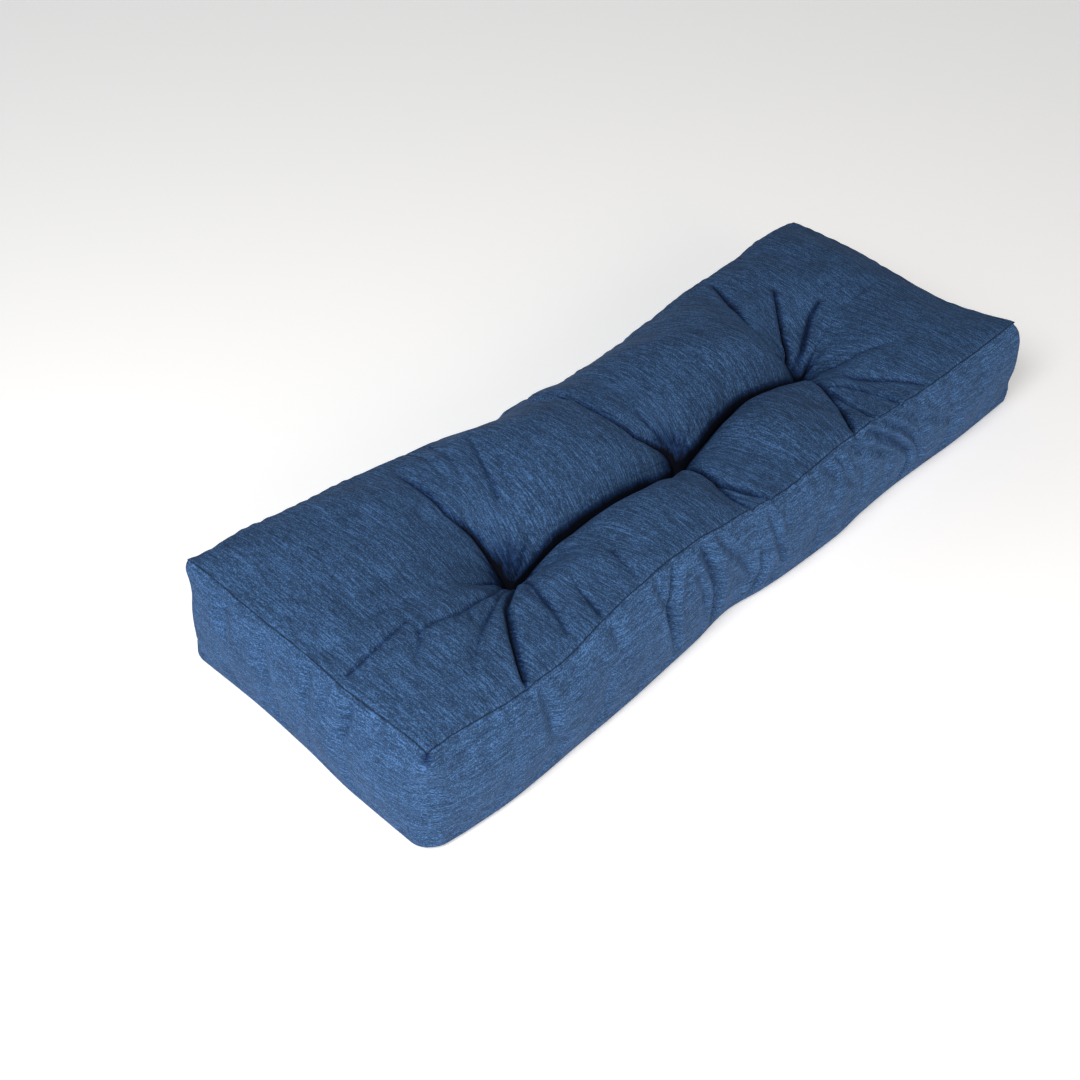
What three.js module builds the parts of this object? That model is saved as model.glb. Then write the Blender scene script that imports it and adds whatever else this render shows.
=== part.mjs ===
// A pallet back cushion lying on its back: a boxed cover of woven cloth, stuffed full, and tufted
// three times along its middle so that it swells into two rows of lobes. Millimetres, +Z up, with
// the origin under the middle of the cushion on the surface that it lies on.
import * as THREE from "three";

// Driving dimensions: the top and bottom panels between their seams. The side band is cut 150 high
// and stands lower where the tufts draw the seams down.
const LENGTH = 1200;
const WIDTH = 400;

// How finely the cloth is divided.
const CELLS_LENGTH = 84;
const CELLS_NEAR = 14;
const CELLS_FAR = 15;
const CELLS_BAND = 5;
const CURVE_STEPS = 60;

// The side band stands a little proud of its seams, and turns under at a rounded foot.
const FOOT_HEIGHT = 8;
const FOOT_INSET = 15;
const BAND_SWELL = 0.03 * WIDTH;
const SWELL_SKEW = 0.75;
const CORNER_RADIUS = 0.07 * WIDTH;
const EAR_LENGTH = 3;
const EAR_REACH = 40;

// How far in from each end the panel takes on the line of the end seam.
const END_REACH = 0.55;
const END_ROLL = 95;

// The long seams and the feet of the long sides, seen from above, with the seams' heights. The
// tufts draw the sides in near x = -110, 0 and 270.
const NEAR_SIDE = [
  { x: -600, y: -199, z: 146, foot: -215 },
  { x: -540, y: -203, z: 144, foot: -223 },
  { x: -480, y: -207, z: 141, foot: -227 },
  { x: -430, y: -207, z: 141, foot: -226 },
  { x: -380, y: -205, z: 144, foot: -224 },
  { x: -330, y: -200, z: 150, foot: -223 },
  { x: -280, y: -196, z: 154, foot: -221 },
  { x: -220, y: -192, z: 156, foot: -217 },
  { x: -160, y: -190, z: 155, foot: -213 },
  { x: -85, y: -192, z: 150, foot: -205 },
  { x: -20, y: -196, z: 145, foot: -213 },
  { x: 40, y: -197, z: 141, foot: -217 },
  { x: 130, y: -193, z: 143, foot: -219 },
  { x: 200, y: -192, z: 143, foot: -214 },
  { x: 270, y: -195, z: 142, foot: -212 },
  { x: 350, y: -199, z: 141, foot: -214 },
  { x: 440, y: -201, z: 143, foot: -217 },
  { x: 600, y: -204, z: 145, foot: -215 },
];
const FAR_SIDE = [
  { x: -600, y: 203, z: 147, foot: 213 },
  { x: -540, y: 201, z: 152, foot: 215 },
  { x: -430, y: 199, z: 146, foot: 216 },
  { x: -320, y: 197, z: 138, foot: 211 },
  { x: -220, y: 190, z: 131, foot: 207 },
  { x: -150, y: 186, z: 118, foot: 205 },
  { x: -110, y: 185, z: 113, foot: 204 },
  { x: -50, y: 184, z: 123, foot: 206 },
  { x: 20, y: 183, z: 116, foot: 204 },
  { x: 130, y: 186, z: 118, foot: 206 },
  { x: 210, y: 190, z: 126, foot: 208 },
  { x: 300, y: 194, z: 137, foot: 210 },
  { x: 420, y: 198, z: 143, foot: 213 },
  { x: 530, y: 203, z: 152, foot: 215 },
  { x: 600, y: 205, z: 150, foot: 212 },
];

// The two end seams and the feet of the end bands.
const LEFT_END = [
  { y: -200, x: -600, z: 147, foot: -617 },
  { y: -90, x: -604, z: 150, foot: -616 },
  { y: 0, x: -600, z: 151, foot: -609 },
  { y: 100, x: -597, z: 150, foot: -605 },
  { y: 200, x: -592, z: 148, foot: -606 },
];
const RIGHT_END = [
  { y: -200, x: 584, z: 144, foot: 611 },
  { y: -95, x: 567, z: 146, foot: 602 },
  { y: 0, x: 580, z: 147, foot: 598 },
  { y: 100, x: 594, z: 148, foot: 603 },
  { y: 200, x: 597, z: 149, foot: 605 },
];

// Sections across the cushion: the crest of the near row of lobes, the valley between the rows
// and the crest of the far row. The valley is a cleft where two lobes press together, and a soft
// dip at 0.
const SECTIONS = [
  { x: -600, nearY: -100, nearZ: 152, valleyY: -20, valleyZ: 153, farY: 90, farZ: 153, sharp: 0 },
  { x: -530, nearY: -100, nearZ: 157, valleyY: -22, valleyZ: 160, farY: 90, farZ: 163, sharp: 0 },
  { x: -465, nearY: -105, nearZ: 156, valleyY: -25, valleyZ: 154, farY: 90, farZ: 166, sharp: 0 },
  { x: -400, nearY: -114, nearZ: 150, valleyY: -28, valleyZ: 138, farY: 92, farZ: 166, sharp: 0.05 },
  { x: -350, nearY: -120, nearZ: 148, valleyY: -32, valleyZ: 108, farY: 90, farZ: 160, sharp: 0.15 },
  { x: -303, nearY: -126, nearZ: 150, valleyY: -33, valleyZ: 78, farY: 86, farZ: 156, sharp: 0.4 },
  { x: -265, nearY: -132, nearZ: 153, valleyY: -35, valleyZ: 68, farY: 78, farZ: 164, sharp: 0.8 },
  { x: -235, nearY: -136, nearZ: 156, valleyY: -38, valleyZ: 64, farY: 74, farZ: 170, sharp: 1 },
  { x: -180, nearY: -138, nearZ: 160, valleyY: -39, valleyZ: 68, farY: 70, farZ: 176, sharp: 1 },
  { x: -125, nearY: -138, nearZ: 159, valleyY: -39, valleyZ: 68, farY: 70, farZ: 175, sharp: 1 },
  { x: -75, nearY: -138, nearZ: 152, valleyY: -39, valleyZ: 64, farY: 72, farZ: 169, sharp: 1 },
  { x: -30, nearY: -132, nearZ: 138, valleyY: -40, valleyZ: 58, farY: 82, farZ: 157, sharp: 1 },
  { x: 12, nearY: -124, nearZ: 139, valleyY: -37, valleyZ: 56, farY: 86, farZ: 157, sharp: 1 },
  { x: 60, nearY: -124, nearZ: 149, valleyY: -31, valleyZ: 62, farY: 80, farZ: 164, sharp: 1 },
  { x: 115, nearY: -124, nearZ: 161, valleyY: -22, valleyZ: 68, farY: 76, farZ: 168, sharp: 1 },
  { x: 165, nearY: -124, nearZ: 160, valleyY: -15, valleyZ: 70, farY: 76, farZ: 170, sharp: 1 },
  { x: 215, nearY: -124, nearZ: 148, valleyY: -18, valleyZ: 68, farY: 80, farZ: 167, sharp: 1 },
  { x: 270, nearY: -118, nearZ: 134, valleyY: -22, valleyZ: 66, farY: 90, farZ: 160, sharp: 0.9 },
  { x: 315, nearY: -111, nearZ: 132, valleyY: -18, valleyZ: 70, farY: 98, farZ: 155, sharp: 0.5 },
  { x: 375, nearY: -104, nearZ: 144, valleyY: -8, valleyZ: 112, farY: 100, farZ: 156, sharp: 0.2 },
  { x: 435, nearY: -100, nearZ: 151, valleyY: -4, valleyZ: 143, farY: 98, farZ: 159, sharp: 0 },
  { x: 515, nearY: -100, nearZ: 153, valleyY: -4, valleyZ: 154, farY: 95, farZ: 160, sharp: 0 },
  { x: 600, nearY: -100, nearZ: 148, valleyY: -4, valleyZ: 149, farY: 95, farZ: 152, sharp: 0 },
];
// How square the pressed faces of the two rows are: 2 is an ellipse.
const NEAR_LOBE = { y: "nearY", z: "nearZ", square: 2.4 };
const FAR_LOBE = { y: "farY", z: "farZ", square: 2.8 };

// The tufts: a pit where the thread holds the face down.
const TUFTS = [
  { x: -303, y: -33 },
  { x: 8, y: -36 },
  { x: 315, y: -15 },
];
const TUFT_PIT = 24;
const TUFT_PIT_RADIUS = 22;

// Gathers in the top that run out from the tufts: the line that each follows, and its depth and
// half width at both ends.
const GATHERS = [
  {
    name: "left far",
    line: [[-303, -28], [-307, 25], [-318, 57], [-314, 142]],
    deep: [18, 4],
    wide: [19, 17],
  },
  {
    name: "left near",
    line: [[-316, -50], [-350, -76], [-420, -146], [-458, -206]],
    deep: [15, 12],
    wide: [17, 14],
  },
  {
    name: "left end",
    line: [[-320, -38], [-375, -68], [-439, -80], [-496, -77]],
    deep: [11, 4],
    wide: [15, 14],
  },
  {
    name: "left end seam",
    line: [[-492, -54], [-540, -62], [-588, -64]],
    deep: [5, 7],
    wide: [14, 13],
  },
  {
    name: "left side",
    line: [[-314, -62], [-342, -112], [-371, -182]],
    deep: [9, 4],
    wide: [15, 13],
  },
  {
    name: "middle far",
    line: [[8, -28], [-24, 9], [-39, 66], [-40, 140]],
    deep: [16, 14],
    wide: [16, 14],
  },
  {
    name: "middle near",
    line: [[2, -46], [-12, -86], [-34, -142]],
    deep: [16, 13],
    wide: [18, 14],
  },
  {
    name: "middle pleat",
    line: [[-31, -132], [-42, -165], [-45, -198]],
    deep: [12, 10],
    wide: [13, 11],
  },
  {
    name: "middle pleat right",
    line: [[-28, -134], [-17, -163], [-7, -197]],
    deep: [10, 7],
    wide: [12, 11],
  },
  {
    name: "right far",
    line: [[304, -4], [288, 30], [295, 67], [345, 172]],
    deep: [14, 5],
    wide: [17, 15],
  },
  {
    name: "right far middle",
    line: [[318, 0], [334, 20], [388, 89]],
    deep: [13, 5],
    wide: [15, 13],
  },
  { name: "right far end", line: [[322, -6], [371, 13], [425, 32]], deep: [10, 4], wide: [14, 13] },
  {
    name: "right corner",
    line: [[322, -24], [342, -62], [412, -112]],
    deep: [9, 4],
    wide: [15, 14],
  },
  {
    name: "right seam",
    line: [[312, -28], [306, -66], [314, -110], [359, -196]],
    deep: [11, 5],
    wide: [15, 12],
  },
  {
    name: "right near",
    line: [[304, -30], [256, -102], [230, -142], [186, -192]],
    deep: [16, 11],
    wide: [17, 13],
  },
  {
    name: "right near fine",
    line: [[262, -104], [246, -146], [236, -196]],
    deep: [7, 5],
    wide: [13, 12],
  },
];
const RIDGE_SHARE = 0.25;
const RIDGE_AT = 1.9;

// Soft upright folds in the long side bands below the gathers: side -1 is near, 1 is far.
const BAND_FOLDS = [
  { side: -1, x: -455, lean: 10, deep: 3, wide: 18 },
  { side: -1, x: -92, lean: -22, deep: 8, wide: 20 },
  { side: -1, x: -35, lean: 24, deep: 6, wide: 18 },
  { side: -1, x: 225, lean: 20, deep: 5, wide: 16 },
  { side: -1, x: 270, lean: 12, deep: 6, wide: 16 },
  { side: 1, x: -305, lean: 10, deep: 5, wide: 20 },
  { side: 1, x: -48, lean: -15, deep: 7, wide: 20 },
  { side: 1, x: 20, lean: 15, deep: 5, wide: 18 },
  { side: 1, x: 345, lean: 10, deep: 5, wide: 20 },
];

/** The value of a table's column at one place, on a smooth curve that doesn't overshoot its rows. */
function along(rows, key, column, at) {
  const last = rows.length - 1;
  const place = THREE.MathUtils.clamp(at, rows[0][key], rows[last][key]);
  let i = 0;
  while (i < last - 1 && place > rows[i + 1][key]) i += 1;
  const step = rows[i + 1][key] - rows[i][key];
  const t = (place - rows[i][key]) / step;
  const rise = rows[i + 1][column] - rows[i][column];
  const leave = slopeAt(rows, key, column, i) * step;
  const arrive = slopeAt(rows, key, column, i + 1) * step;
  const eased = t * t * (3 - 2 * t);
  return rows[i][column] + rise * eased + leave * t * (1 - t) ** 2 - arrive * t * t * (1 - t);
}

/** The slope of a column at a row: level at a peak, and otherwise the harmonic mean of both sides. */
function slopeAt(rows, key, column, i) {
  const slope = (a, b) => (rows[b][column] - rows[a][column]) / (rows[b][key] - rows[a][key]);
  if (i === 0) return slope(0, 1);
  if (i === rows.length - 1) return slope(i - 1, i);
  const before = slope(i - 1, i);
  const after = slope(i, i + 1);
  return before * after <= 0 ? 0 : (2 * before * after) / (before + after);
}

/** Points spaced evenly by length along a drawn line. */
function respace(line, cells) {
  const run = [0];
  for (let i = 1; i < line.length; i += 1) run.push(run[i - 1] + line[i].distanceTo(line[i - 1]));
  const spaced = [];
  for (let n = 0, i = 1; n <= cells; n += 1) {
    const wanted = (run[run.length - 1] * n) / cells;
    while (i < line.length - 1 && run[i] < wanted) i += 1;
    const share = (wanted - run[i - 1]) / (run[i] - run[i - 1]);
    spaced.push(line[i - 1].clone().lerp(line[i], share));
  }
  return spaced;
}

/** One lobe's outline across the cushion at x, from its seam over its crest to the valley. */
function lobeOutline(x, side, lobe, cells) {
  const seam = new THREE.Vector2(along(side, "x", "y", x), along(side, "x", "z", x));
  const crest = new THREE.Vector2(along(SECTIONS, "x", lobe.y, x), along(SECTIONS, "x", lobe.z, x));
  const valley = new THREE.Vector2(
    along(SECTIONS, "x", "valleyY", x),
    along(SECTIONS, "x", "valleyZ", x),
  );
  const sharp = along(SECTIONS, "x", "sharp", x);
  const line = [];
  for (let n = 0; n <= CURVE_STEPS; n += 1) {
    const back = 1 - n / CURVE_STEPS;
    const y = THREE.MathUtils.lerp(crest.x, seam.x, back);
    line.push(new THREE.Vector2(y, crest.y - (crest.y - seam.y) * back ** 2.1));
  }
  for (let n = 1; n <= CURVE_STEPS; n += 1) {
    const reach = Math.sin((Math.PI / 2) * (n / CURVE_STEPS));
    const pressed = (1 - reach ** lobe.square) ** (1 / lobe.square);
    const soft = (1 + Math.cos(Math.PI * reach)) / 2;
    const height = THREE.MathUtils.lerp(soft, pressed, sharp);
    const y = THREE.MathUtils.lerp(crest.x, valley.x, reach);
    line.push(new THREE.Vector2(y, valley.y + (crest.y - valley.y) * height));
  }
  return respace(line, cells);
}

/** How far a place lies from a drawn line, and the share along the line of its nearest point. */
function lineDistance(x, y, line) {
  const runs = line.slice(1).map((end, n) => Math.hypot(end[0] - line[n][0], end[1] - line[n][1]));
  const total = runs.reduce((sum, run) => sum + run, 0);
  let nearest = { away: Infinity, share: 0 };
  let before = 0;
  runs.forEach((run, n) => {
    const [startX, startY] = line[n];
    const wayX = (line[n + 1][0] - startX) / run;
    const wayY = (line[n + 1][1] - startY) / run;
    const ahead = THREE.MathUtils.clamp((x - startX) * wayX + (y - startY) * wayY, 0, run);
    const away = Math.hypot(x - startX - wayX * ahead, y - startY - wayY * ahead);
    if (away < nearest.away) nearest = { away, share: (before + ahead) / total };
    before += run;
  });
  return nearest;
}

/** How deep the gathers press the cloth in at a place seen from above. */
function gatherDepth(x, y) {
  let troughs = 0;
  let ridges = 0;
  for (const { line, deep, wide } of GATHERS) {
    const { away, share } = lineDistance(x, y, line);
    const off = away / THREE.MathUtils.lerp(wide[0], wide[1], share);
    const depth = THREE.MathUtils.lerp(deep[0], deep[1], share);
    troughs += (depth * Math.exp(-1.3 * off ** 1.5)) ** 3;
    ridges += depth * RIDGE_SHARE * Math.exp(-(((off - RIDGE_AT) / 0.8) ** 2));
  }
  return Math.cbrt(troughs) - ridges;
}

/** How deep the tufts' threads pull a place down. */
function pitDepth(x, y) {
  const pit = ({ x: tuftX, y: tuftY }) => {
    const away = Math.hypot(x - tuftX, y - tuftY) / TUFT_PIT_RADIUS;
    return TUFT_PIT * Math.exp(-away * away);
  };
  return TUFTS.reduce((sum, tuft) => sum + pit(tuft), 0);
}

/** The top panel as columns of points: one column for each step along the cushion. */
function topPanel() {
  const columns = [];
  for (let i = 0; i <= CELLS_LENGTH; i += 1) {
    const x = LENGTH * (i / CELLS_LENGTH - 0.5);
    const near = lobeOutline(x, NEAR_SIDE, NEAR_LOBE, CELLS_NEAR);
    const far = lobeOutline(x, FAR_SIDE, FAR_LOBE, CELLS_FAR);
    const outline = [...near, ...far.reverse().slice(1)];
    columns.push(outline.map((p) => endShift(x, p.x, p.y)));
  }
  for (const column of columns.slice(1, -1)) {
    const nearEdge = column[0].y;
    const farEdge = column[column.length - 1].y;
    for (const point of column) {
      const inside = Math.min(point.y - nearEdge, farEdge - point.y);
      const held = THREE.MathUtils.smoothstep(inside, -6, 16);
      const offValley = Math.abs(point.y - along(SECTIONS, "x", "valleyY", point.x));
      const free = THREE.MathUtils.lerp(0.25, 1, THREE.MathUtils.smoothstep(offValley, 4, 34));
      point.z -= gatherDepth(point.x, point.y) * held * free + pitDepth(point.x, point.y);
    }
  }
  return columns;
}

/** A point of the panel, moved to follow the nearer end seam. */
function endShift(x, y, z) {
  const end = x < 0 ? LEFT_END : RIGHT_END;
  const out = Math.abs(x) / (LENGTH / 2);
  const pull = THREE.MathUtils.clamp((out - 1 + END_REACH) / END_REACH, 0, 1) ** 2;
  const roll = THREE.MathUtils.clamp((Math.abs(x) - LENGTH / 2 + END_ROLL) / END_ROLL, 0, 1) ** 3;
  const seamX = along(end, "y", "x", y);
  const seamZ = along(end, "y", "z", y);
  return new THREE.Vector3(
    x + pull * (seamX - Math.sign(x) * (LENGTH / 2)),
    y,
    THREE.MathUtils.lerp(z, seamZ, roll),
  );
}

/** The seam all round the panel, anticlockwise from above, with each point's foot and its side. */
function seamRing(columns) {
  const rows = CELLS_NEAR + CELLS_FAR;
  const ring = [];
  const add = (point, outX, outY, corner) => {
    const foot = new THREE.Vector2(
      outX ? along(outX < 0 ? LEFT_END : RIGHT_END, "y", "foot", point.y) : 0,
      outY ? along(outY < 0 ? NEAR_SIDE : FAR_SIDE, "x", "foot", point.x) : 0,
    );
    const toCorner = corner.clone().sub(new THREE.Vector2(point.x, point.y)).length();
    if (!outX) foot.x = footAlong(point, "x", outY);
    if (!outY) foot.y = footAlong(point, "y", outX);
    ring.push({ point, foot, outX, outY, toCorner });
  };
  const cornerNear = (i, j) => {
    const column = columns[i < CELLS_LENGTH / 2 ? 0 : CELLS_LENGTH];
    const point = column[j < rows / 2 ? 0 : rows];
    return new THREE.Vector2(point.x, point.y);
  };
  for (let i = 0; i <= CELLS_LENGTH; i += 1) {
    const outX = i === 0 ? -1 : i === CELLS_LENGTH ? 1 : 0;
    add(columns[i][0], outX, -1, cornerNear(i, 0));
  }
  for (let j = 1; j < rows; j += 1) add(columns[CELLS_LENGTH][j], 1, 0, cornerNear(CELLS_LENGTH, j));
  for (let i = CELLS_LENGTH; i >= 0; i -= 1) {
    const outX = i === 0 ? -1 : i === CELLS_LENGTH ? 1 : 0;
    add(columns[i][rows], outX, 1, cornerNear(i, rows));
  }
  for (let j = rows - 1; j > 0; j -= 1) add(columns[0][j], -1, 0, cornerNear(0, j));
  return ring;
}

/** The foot of a seam point, measured along its own side: the foot's side is a little longer. */
function footAlong(point, axis, out) {
  if (axis === "x") {
    const left = along(LEFT_END, "y", "foot", (out * WIDTH) / 2);
    const right = along(RIGHT_END, "y", "foot", (out * WIDTH) / 2);
    const seamLeft = along(LEFT_END, "y", "x", (out * WIDTH) / 2);
    const seamRight = along(RIGHT_END, "y", "x", (out * WIDTH) / 2);
    return THREE.MathUtils.mapLinear(point.x, seamLeft, seamRight, left, right);
  }
  const end = (out * LENGTH) / 2;
  const near = along(NEAR_SIDE, "x", "foot", end);
  const far = along(FAR_SIDE, "x", "foot", end);
  const seamNear = along(NEAR_SIDE, "x", "y", end);
  const seamFar = along(FAR_SIDE, "x", "y", end);
  return THREE.MathUtils.mapLinear(point.y, seamNear, seamFar, near, far);
}

/** How far the folds of a long side band lie in at a place. */
function bandFold(x, side, down) {
  let depth = 0;
  for (const fold of BAND_FOLDS) {
    if (fold.side !== side) continue;
    const off = (x - fold.x - fold.lean * down) / fold.wide;
    depth += fold.deep * Math.exp(-off * off);
  }
  return depth * Math.sin(Math.PI * (0.1 + 0.8 * down));
}

/** One point of the side band, a share of the way down from the seam to the foot. */
function bandPoint(station, down) {
  const { point, foot, outX, outY, toCorner } = station;
  const swell = BAND_SWELL * Math.sin(Math.PI * down ** SWELL_SKEW);
  const inward = outX ? 0 : bandFold(point.x, outY, down);
  const diagonal = outX && outY ? Math.SQRT1_2 : 1;
  const place = new THREE.Vector3(
    THREE.MathUtils.lerp(point.x, foot.x, down),
    THREE.MathUtils.lerp(point.y, foot.y, down),
    THREE.MathUtils.lerp(point.z, FOOT_HEIGHT, down),
  );
  place.x += outX * swell * diagonal;
  place.y += outY * (swell * diagonal - inward);
  const radius = CORNER_RADIUS * THREE.MathUtils.smoothstep(down, -0.15, 0.5);
  if (toCorner < radius) {
    const turn = (Math.PI / 4) * (1 - toCorner / radius);
    const tuck = radius * (1 - Math.cos(turn));
    const slide = radius * (1 - Math.sin(turn)) - toCorner;
    const alongX = -Math.sign(point.x) * slide;
    const alongY = -Math.sign(point.y) * slide;
    place.x += outX ? -outX * tuck : alongX;
    place.y += outY ? -outY * tuck : alongY;
  }
  return place;
}

/** The four top corners stand out as small pinched ears. */
function pullEars(columns) {
  const rows = CELLS_NEAR + CELLS_FAR;
  for (const i of [0, CELLS_LENGTH]) {
    for (const j of [0, rows]) {
      const tip = columns[i][j].clone();
      for (const point of columns.flat()) {
        const near = 1 - point.distanceTo(tip) / EAR_REACH;
        if (near <= 0) continue;
        point.x += Math.sign(tip.x) * EAR_LENGTH * near ** 2;
        point.y += Math.sign(tip.y) * EAR_LENGTH * near ** 2;
      }
    }
  }
}

/** The whole cover as one closed skin: panel, side band, rolled foot and flat underside. */
function cushionGeometry() {
  const columns = topPanel();
  pullEars(columns);
  const rows = CELLS_NEAR + CELLS_FAR;
  const ring = seamRing(columns);
  const positions = [];
  const faces = [];
  const put = (point) => positions.push(point.x, point.y, point.z) / 3 - 1;
  const index = columns.map((column) => column.map(put));
  const quad = (a, b, c, d) => faces.push(a, b, c, a, c, d);

  for (let i = 0; i < CELLS_LENGTH; i += 1) {
    for (let j = 0; j < rows; j += 1) {
      quad(index[i][j], index[i + 1][j], index[i + 1][j + 1], index[i][j + 1]);
    }
  }

  const seam = [
    ...index.map((column) => column[0]),
    ...index[CELLS_LENGTH].slice(1, -1),
    ...index.map((column) => column[rows]).reverse(),
    ...index[0].slice(1, -1).reverse(),
  ];
  let upper = seam;
  for (let n = 1; n <= CELLS_BAND; n += 1) {
    const lower = ring.map((station) => put(bandPoint(station, n / CELLS_BAND)));
    stitch(upper, lower, quad);
    upper = lower;
  }

  const sole = ring.map((station) => {
    const foot = bandPoint(station, 1);
    foot.x -= station.outX * FOOT_INSET;
    foot.y -= station.outY * FOOT_INSET;
    if (!station.outX) foot.x *= 1 - (2 * FOOT_INSET) / LENGTH;
    if (!station.outY) foot.y *= 1 - (2 * FOOT_INSET) / WIDTH;
    foot.z = 0;
    return foot;
  });
  const soleIndex = sole.map(put);
  stitch(upper, soleIndex, quad);
  const outline = sole.map((point) => new THREE.Vector2(point.x, point.y));
  for (const [a, b, c] of THREE.ShapeUtils.triangulateShape(outline, [])) {
    faces.push(soleIndex[a], soleIndex[c], soleIndex[b]);
  }

  const geometry = new THREE.BufferGeometry();
  geometry.setAttribute("position", new THREE.Float32BufferAttribute(positions, 3));
  geometry.setIndex(faces);
  geometry.computeVertexNormals();
  return geometry;
}

/** Joins one ring of points to the ring below it. */
function stitch(upper, lower, quad) {
  for (let n = 0; n < upper.length; n += 1) {
    const next = (n + 1) % upper.length;
    quad(upper[n], lower[n], lower[next], upper[next]);
  }
}

/** The stuffed cover, a woven polyester of mixed blue yarns. */
function cushion() {
  const cloth = new THREE.MeshStandardMaterial({ color: 0x3a5f8f, roughness: 0.9, metalness: 0 });
  const geometry = cushionGeometry();
  geometry.computeBoundingBox();
  const middle = geometry.boundingBox.getCenter(new THREE.Vector3());
  const mesh = new THREE.Mesh(geometry, cloth);
  mesh.name = "cushion";
  mesh.position.set(-middle.x, -middle.y, 0);
  return mesh;
}

const group = new THREE.Group();
group.add(cushion());

export default group;
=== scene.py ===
"""A pallet back cushion in blue woven polyester, lying on its back on a pale floor.

The cover is one skin of three panels: the tufted top, the side band round it and the flat
underside. Lengths in the tables are millimetres from the cushion's own middle line, as a
cutter would measure them, and everything that Blender holds is in metres.
"""

import math

import bmesh
import bpy
import numpy as np
from bpy.props import (
    FloatProperty,
    FloatVectorProperty,
    IntProperty,
    PointerProperty,
    StringProperty,
)
from bpy.types import Operator, Panel, PropertyGroup
from mathutils import Matrix, Vector


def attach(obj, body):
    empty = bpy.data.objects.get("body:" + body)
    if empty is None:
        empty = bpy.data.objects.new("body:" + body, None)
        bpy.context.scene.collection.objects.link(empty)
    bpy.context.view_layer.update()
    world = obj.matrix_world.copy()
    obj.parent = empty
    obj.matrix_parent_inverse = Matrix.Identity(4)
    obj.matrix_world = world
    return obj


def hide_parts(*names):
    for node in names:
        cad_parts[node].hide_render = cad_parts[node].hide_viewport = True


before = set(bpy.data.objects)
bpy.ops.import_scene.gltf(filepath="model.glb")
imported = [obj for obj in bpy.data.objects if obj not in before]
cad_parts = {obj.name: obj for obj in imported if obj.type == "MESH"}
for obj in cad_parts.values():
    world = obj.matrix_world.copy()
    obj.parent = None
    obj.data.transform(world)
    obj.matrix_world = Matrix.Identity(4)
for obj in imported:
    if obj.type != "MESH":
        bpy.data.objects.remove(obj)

bl_info = {
    "name": "Pallet Back Cushion",
    "version": (1, 0, 0),
    "blender": (4, 5, 0),
    "location": "View3D > Sidebar > Cushion",
    "description": "Sews, stuffs and tufts a boxed pallet cushion and lights it on a pale floor",
    "category": "Object",
}

MM = 0.001
CUSHION = "cushion"

# The tables are measured from the middle of the cut panels. The part's origin is the middle of
# the stuffed outline, which lies this much the other way.
PANEL_MIDDLE = np.array([4.77, 4.30, 0.0])

LENGTH = 1200.0
BAND_HEIGHT = 150.0

# The usual length of cloth over each row of lobes, from its seam to the valley. Then how much
# closer together a grid's cells lie at its ends, and how far in from them.
NEAR_CLOTH = 245.0
FAR_CLOTH = 260.0
CROWD = 3.5
CROWD_REACH = 5.0


def table(columns, *rows):
    """A short table as one array for each named column."""
    return dict(zip(columns.split(), np.array(rows, float).T))


def rows_of(rows, columns):
    """A table row by row, with only the named columns."""
    return zip(*(rows[name] for name in columns.split()))


# Long seams seen from above, their heights, and the feet of the long sides. The tufts draw the
# seams in and down near x = -110, 0 and 270.
NEAR_SIDE = table(
    "x y z foot",
    (-600, -199, 146, -215),
    (-540, -203, 144, -223),
    (-480, -207, 141, -227),
    (-430, -207, 141, -226),
    (-380, -205, 144, -224),
    (-330, -200, 150, -223),
    (-280, -196, 154, -221),
    (-220, -192, 156, -217),
    (-160, -190, 155, -213),
    (-85, -192, 150, -205),
    (-20, -196, 145, -213),
    (40, -197, 141, -217),
    (130, -193, 143, -219),
    (200, -192, 143, -214),
    (270, -195, 142, -212),
    (350, -199, 141, -214),
    (440, -201, 143, -217),
    (600, -204, 150, -215),
)
FAR_SIDE = table(
    "x y z foot",
    (-600, 203, 147, 213),
    (-540, 201, 152, 215),
    (-430, 199, 146, 216),
    (-320, 197, 138, 211),
    (-220, 190, 131, 207),
    (-150, 186, 118, 205),
    (-110, 185, 113, 204),
    (-50, 184, 123, 206),
    (20, 183, 116, 204),
    (130, 186, 118, 206),
    (210, 190, 126, 208),
    (300, 194, 137, 210),
    (420, 198, 143, 213),
    (530, 203, 152, 215),
    (600, 205, 150, 212),
)
LEFT_END = table(
    "y x z foot",
    (-200, -600, 147, -617),
    (-90, -604, 150, -616),
    (0, -600, 151, -609),
    (100, -597, 150, -605),
    (200, -592, 148, -606),
)
RIGHT_END = table(
    "y x z foot",
    (-200, 584, 149, 611),
    (-95, 567, 146, 602),
    (0, 580, 147, 598),
    (100, 594, 148, 603),
    (200, 597, 149, 605),
)

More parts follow.
